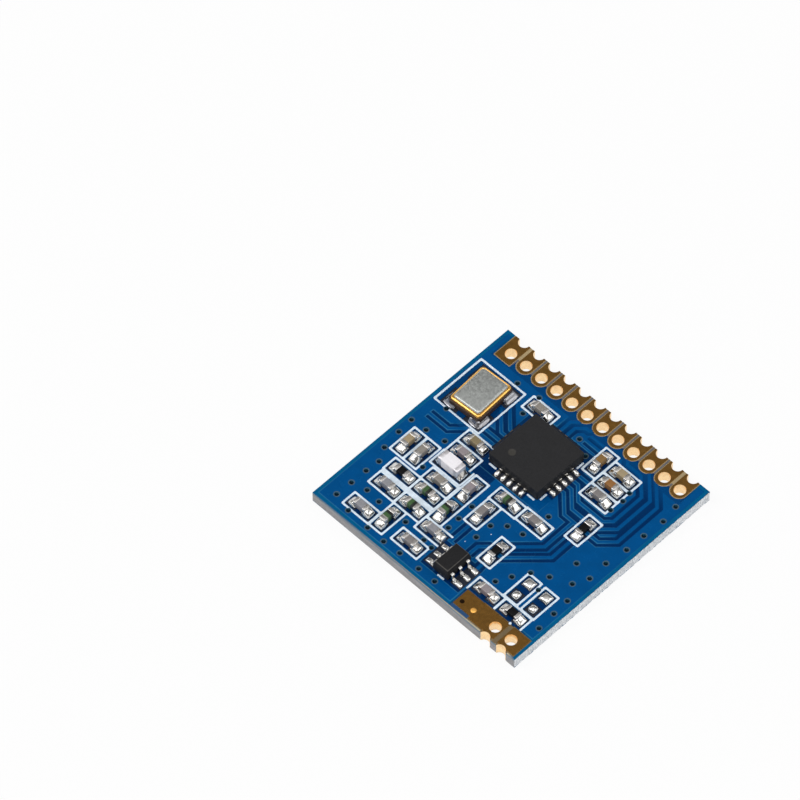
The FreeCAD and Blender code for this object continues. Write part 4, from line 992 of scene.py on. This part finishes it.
CHOKE = ceramic_material("choke_ceramic_coat", rgb(246, 243, 247), 0.5, 0.03)
CHOKE_SILVER = metal_material("choke_silver", rgb(234, 231, 234), 0.45)
CHOKE_END = 0.36
length, width, height, middle, foot, turn = footprint("choke_01")
at = stand(middle, foot, turn)
body_x = length / 2 - CHOKE_END + 0.06
bm = bmesh.new()
soft_block(bm, (-body_x, -width / 2, 0.02), (body_x, width / 2, height), 0.05, at)
dressed(from_bmesh("choke_01_body", bm), CHOKE, "choke_ceramic", "choke_01")
bm = bmesh.new()
for sign in (1, -1):
    low_x, high_x = sorted((sign * (length / 2 - CHOKE_END), sign * length / 2))
    soft_block(bm, (low_x, -width / 2 + 0.02, 0), (high_x, width / 2 - 0.02, height - 0.03), 0.07, at)
dressed(from_bmesh("choke_01_ends", bm), CHOKE_SILVER, "termination", "choke_01")
solder_up("choke_01", 0.27, 0.02, 0.8)


# Empty footprints: a dome of solder on each land

EMPTY = {"empty_01": (5.30, -4.46), "empty_02": (6.68, -4.48)}
# Their lands: turn, near and far reach, half width, rise, squareness and drawn-in corners
EMPTY_LANDS = ((90, 0.2, 0.92, 0.37, 0.19, 2.6, 0.1), (270, 0.22, 0.86, 0.3, 0.24, 2, 0.7))


def dome(low, high, half_width, rise, squareness):
    """A rounded heap; a higher squareness fills out its corners."""
    middle, half = (low + high) / 2, (high - low) / 2

    def height(x, y):
        along, across = abs(x - middle) / half, abs(y) / half_width
        fullness = max(1 - along ** squareness, 0) * max(1 - across ** squareness, 0)
        return 0.03 + rise * fullness ** 0.6
    return height


for name, spot in EMPTY.items():
    bm = bmesh.new()
    for turn, near, far, half_width, rise, squareness, corner in EMPTY_LANDS:
        mound(bm, stand(spot, CORE_TOP, turn), near, far, half_width,
              dome(near, far, half_width, rise, squareness), 18, corner)
    soldered(name, bm)


# Transmitter chip

low, high = node_box("transmitter_chip_body")
CHIP_MIDDLE, CHIP_HALF, CHIP_TOP = (low + high) / 2, (high - low) / 2, high.z
CHIP = moulding_material("chip_moulding_grain", 27, 31)
# The top's edge: how far it reaches in and down
CHIP_EDGE, CHIP_DROP = 0.028, 0.03
# The round mark by the first terminal, from the chip's middle
DIMPLE = (-1.06, -1.01)
DIMPLE_RADIUS = 0.27
DIMPLE_DEPTH = 0.035
MARK_CORE = 0.2

outline, *guides = [[point.to_2d() for point in level(CHIP_HALF, inset, 0.04, 0)]
                    for inset in (0.0, 0.012, 0.03)]
guides += [circle(DIMPLE, DIMPLE_RADIUS * share, 36) for share in (1.2, 1.05, 1, 0.8, 0.4)]


def chip_top(plan):
    edge = 1 - smooth(distance(plan, [outline]), 0, CHIP_EDGE)
    dimple = 1 - smooth(away_from(DIMPLE, plan), DIMPLE_RADIUS * 0.75, DIMPLE_RADIUS)
    return CHIP_TOP - CHIP_DROP * edge - DIMPLE_DEPTH * dimple


body = plate("transmitter_chip_moulding", [outline], guides, chip_top, flat_at(low.z + 0.001),
             {"mark_or_edge_highlight": lambda plan: 1 - smooth(away_from(DIMPLE, plan), MARK_CORE, DIMPLE_RADIUS)})
body.data.transform(Matrix.Translation(CHIP_MIDDLE.xy.to_3d() * MM))
dressed(body, CHIP, "chip_moulding", "transmitter_chip_body")

CHIP_PITCH = 0.5
# How far the solder reaches out on each side: less on the two far sides
CHIP_TOES = (0.55, 0.42, 0.42, 0.55)
CHIP_BEAD = 0.165
bm = bmesh.new()
for quarter, toe in enumerate(CHIP_TOES):
    for number in range(-2, 3):
        at = stand(CHIP_MIDDLE, CORE_TOP, 90 * quarter, number * CHIP_PITCH)
        mound(bm, at, CHIP_HALF.x - 0.4, CHIP_HALF.x + toe, CHIP_BEAD,
              fillet(CHIP_HALF.x, CHIP_BEAD, toe, draw.uniform(0.17, 0.22), 1.0), 12)
soldered("transmitter_chip", bm)


# Crystal can

low, high = node_box("crystal_lid")
CAN_MIDDLE = (low + high) / 2
LID_HIGH = high.z
BASE_LOW, BASE_HIGH = (corner.z for corner in node_box("crystal_base"))
RING_HIGH = node_box("crystal_seal_ring")[1].z
# The can sits a little askew on its lands
CAN_TURN = 3.0
CAN_HALF = Vector((1.25, 1.6))
CAN_NOTCH = 0.15
NOTCH_STEPS = 6
BASE_EDGE = 0.015
at = stand(CAN_MIDDLE, 0, CAN_TURN)
# Insets and heights of the base's outline
BASE_RINGS = ((BASE_EDGE, BASE_LOW), (0, BASE_LOW + BASE_EDGE), (0, BASE_HIGH - BASE_EDGE),
              (BASE_EDGE, BASE_HIGH))
bm = bmesh.new()
skin(bm, [level(CAN_HALF, inset, CAN_NOTCH, z, NOTCH_STEPS, True) for inset, z in BASE_RINGS], at)
BASE = ceramic_material("can_base_ceramic", rgb(66, 48, 38), 0.45, 0.15)
dressed(from_bmesh("crystal_can_base", bm), BASE, "ceramic_base", "crystal_base")

# The seal ring and the lid in rings: inset, corner radius and height
RING_HALF = CAN_HALF - Vector((0.07, 0.07))
RING_RINGS = ((0.0, 0.24, BASE_HIGH), (0.0, 0.24, RING_HIGH - 0.09), (0.015, 0.2325, RING_HIGH - 0.05),
              (0.045, 0.2175, RING_HIGH - 0.018), (0.085, 0.1975, RING_HIGH),
              (0.125, 0.1775, RING_HIGH - 0.01), (0.16, 0.16, RING_HIGH - 0.04))
GILT = metal_material("gilt_metal", rgb(255, 196, 104), 0.25)
LID_HALF = RING_HALF - Vector((0.155, 0.155))
LID_RINGS = ((0.0, 0.2, RING_HIGH - 0.05), (0.0, 0.2, RING_HIGH + 0.05), (0.03, 0.19, LID_HIGH - 0.045),
             (0.09, 0.16, LID_HIGH - 0.006), (0.13, 0.14, LID_HIGH))
LID = metal_material("lid_nickel", rgb(184, 187, 184), 0.42, 0.15, 8.0)
for name, half, rings, metal, slot, node in (
        ("crystal_can_ring", RING_HALF, RING_RINGS, GILT, "gilt_ring", "crystal_seal_ring"),
        ("crystal_can_lid", LID_HALF, LID_RINGS, LID, "lid_metal", "crystal_lid")):
    bm = bmesh.new()
    skin(bm, [level(half, inset, radius, z) for inset, radius, z in rings], at)
    dressed(from_bmesh(name, bm), metal, slot, node)

# Solder at the can's corners: middle, half size, and how far and high it heaps past the can
HEAP = Vector((1.02, 1.21))
HEAP_HALF = Vector((0.52, 0.59))
HEAP_REACH = Vector((0.28, 0.19))
HEAP_FOOT, HEAP_RISE = 0.04, 0.27
CAN_SOLDER = metal_material("can_solder_metal", rgb(156, 156, 160), 0.26, 0.4, 5.0)
bm = bmesh.new()
for signs in CORNERS:
    spot = HEAP * Vector(signs)

    def height(x, y):
        out_x = max(abs(x + spot.x) - CAN_HALF.x, 0)
        out_y = max(abs(y + spot.y) - CAN_HALF.y, 0)
        away = min(math.hypot(out_x / HEAP_REACH.x, out_y / HEAP_REACH.y), 1)
        return HEAP_FOOT + HEAP_RISE * (1 - away) ** 2.2

    mound(bm, stand(CAN_MIDDLE.xy + spot, CORE_TOP), -HEAP_HALF.x, HEAP_HALF.x, HEAP_HALF.y, height, 18)
soldered("crystal_can", bm, CAN_SOLDER)


# Switch chip: a body that leans in above and below its leads, and bent leads

low, high = node_box("switch_chip_body")
SWITCH_MIDDLE = (low + high) / 2
SWITCH_HALF = (high - low) / 2
WAIST = SWITCH_MIDDLE.z
# The body's rings: inset, height and whether its edge gets the painted highlight
SWITCH_RINGS = ((0.07, low.z, 0), (0.045, low.z + 0.02, 0), (0.0, WAIST, 0), (0.095, high.z - 0.05, 0),
                (0.105, high.z - 0.03, 1), (0.13, high.z - 0.005, 1), (0.155, high.z, 0))
bm = bmesh.new()
skin(bm, [level(SWITCH_HALF, inset, 0.03, z) for inset, z, _ in SWITCH_RINGS], stand(SWITCH_MIDDLE, 0))
body = from_bmesh("switch_chip_moulding", bm)
ring_size = len(body.data.vertices) // len(SWITCH_RINGS)
# The flagged rings carry the painted highlight along the switch's top edge
store(body.data, "mark_or_edge_highlight", [float(light) for _, _, light in SWITCH_RINGS for _ in range(ring_size)])
dressed(body, moulding_material("switch_moulding_grain", 15, 60), "chip_moulding", "switch_chip_body")

LEAD_WIDTH = 0.22
LEAD_THICKNESS = 0.12
LEAD_PITCH = 0.65
LEAD_BEND = 0.09
# A lead's root inside the body, and its knee in from its toe
LEAD_ROOT = 0.1
LEAD_KNEE = 0.33
LEAD_TIN = metal_material("lead_tin", rgb(216, 214, 210), 0.2)
lead_low, lead_high = node_box("switch_chip_leads")
LEAD_REACH = (lead_high.x - lead_low.x) / 2
# Each lead's turn and its place along the body
LEADS = [(turn, number * LEAD_PITCH) for turn in (0, 180) for number in (-1, 0, 1)]


def arc(centre, radius, start, end, steps=5):
    """Points on an arc in the lead's side view, from start to end in degrees."""
    turns = [math.radians(start + (end - start) * k / steps) for k in range(steps + 1)]
    return [(centre[0] + radius * math.cos(turn), centre[1] + radius * math.sin(turn)) for turn in turns]


def lead_side(half):
    """The lead's middle line, offset by half its thickness to one side."""
    top_z = WAIST - SEAT
    knee_x = LEAD_REACH - LEAD_KNEE
    upper = arc((knee_x - LEAD_BEND, top_z - LEAD_BEND), LEAD_BEND + half, 90, 0)
    lower = arc((knee_x + LEAD_BEND, LEAD_THICKNESS / 2 + LEAD_BEND), LEAD_BEND - half, 180, 270)
    start = [(SWITCH_HALF.x - LEAD_ROOT, top_z + half)]
    return start + upper + lower + [(LEAD_REACH, LEAD_THICKNESS / 2 - half)]


profile = lead_side(LEAD_THICKNESS / 2) + lead_side(-LEAD_THICKNESS / 2)[::-1]
bm = bmesh.new()
for turn, along in LEADS:
    at = stand(SWITCH_MIDDLE, SEAT, turn)
    skin(bm, [[Vector((x, along + y, z)) for x, z in profile]
              for y in (-LEAD_WIDTH / 2, LEAD_WIDTH / 2)], at)
leads = from_bmesh("switch_chip_bent_leads", bm)
round_edges(leads, 0.015)
dressed(leads, LEAD_TIN, "tinned_metal", "switch_chip_leads")

SWITCH_TOE = 0.42
SWITCH_BEAD = 0.19
bm = bmesh.new()
for turn, along in LEADS:
    mound(bm, stand(SWITCH_MIDDLE, CORE_TOP, turn, along),
          LEAD_REACH - 0.3, LEAD_REACH + SWITCH_TOE, SWITCH_BEAD,
          fillet(LEAD_REACH, SWITCH_BEAD, SWITCH_TOE, 0.14, 0.7), 12)
soldered("switch_chip", bm)


# Floor, lamps and surround

FLOOR_GLOW = 0.9
FLOOR_HALF = 1500
FLOOR_GAP = 0.01


def floor_material():
    """White table: mostly white to the eye and to metal, with the object's shadow kept."""
    graph = Graph("table_white")
    graph.finish(rgb(246, 246, 246), 0.9)
    rays = graph.add("ShaderNodeLightPath", {}).outputs
    seen = graph.math("MAXIMUM", rays["Is Camera Ray"], rays["Is Glossy Ray"])
    seen = graph.math("MAXIMUM", seen, rays["Is Transmission Ray"])
    glow = graph.add("ShaderNodeEmission", {"Color": (1, 1, 1, 1), "Strength": 1.0})
    blend = graph.add("ShaderNodeMixShader", {0: graph.math("MULTIPLY", seen, FLOOR_GLOW),
                                              1: graph.shader.outputs[0], 2: glow.outputs[0]})
    graph.feed(graph.tree.nodes["Material Output"].inputs["Surface"], blend.outputs[0])
    return graph.owner


bm = bmesh.new()
bmesh.ops.create_grid(bm, x_segments=8, y_segments=8, size=FLOOR_HALF * MM)
bmesh.ops.translate(bm, vec=(0, 0, -FLOOR_GAP * MM), verts=bm.verts)
floor = from_bmesh("floor", bm)
floor.data.materials.append(floor_material())
floor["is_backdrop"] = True

# Soft square lamps: azimuth, elevation, distance, side and share of the light
LAMPS = {
    "overhead": (45, 74, 900, 700, 0.34),
    "left": (-48, 42, 900, 650, 0.2),
    "right": (122, 34, 900, 500, 0.1),
    "glint": (-38, 50, 900, 150, 0.05),
}
for name, (azimuth, elevation, away, side, share) in LAMPS.items():
    lamp = bpy.data.lights.new(name, "AREA")
    lamp.shape = "SQUARE"
    lamp.size = side * MM
    # The light that makes a white card at the board this bright
    lamp.energy = share * math.pi ** 2 * (away * MM) ** 2 / math.sin(math.radians(elevation))
    aim(put(name, lamp), Vector((0, 0, 0)), azimuth, elevation, away)

DIFFUSE_LEVEL = 0.36
# What metal mirrors: the sky's brightness by height, 0 at the horizon and 1 overhead
MIRRORED = ((0.0, 1.0), (0.2, 0.85), (0.38, 0.12), (0.62, 0.2), (0.82, 0.4), (0.93, 0.75), (1.0, 0.9))


def surround():
    """Even light for matt surfaces and a banded sky for glossy ones."""
    graph = Graph("surround", "worlds")
    place = graph.add("ShaderNodeTexCoord", {}).outputs["Generated"]
    ramp = graph.add("ShaderNodeValToRGB", {"Fac": graph.part(place, "Z")})
    stops = ramp.color_ramp.elements
    for k, (up, brightness) in enumerate(MIRRORED):
        stop = stops[k] if k < 2 else stops.new(up)
        stop.position = up
        stop.color = (brightness,) * 3 + (1,)
    glossy = graph.add("ShaderNodeLightPath", {}).outputs["Is Glossy Ray"]
    sky = graph.mix(glossy, (DIFFUSE_LEVEL,) * 3 + (1,), ramp.outputs["Color"])
    graph.feed(graph.tree.nodes["Background"].inputs["Color"], sky)
    return graph.owner


scene.world = surround()

low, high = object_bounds()
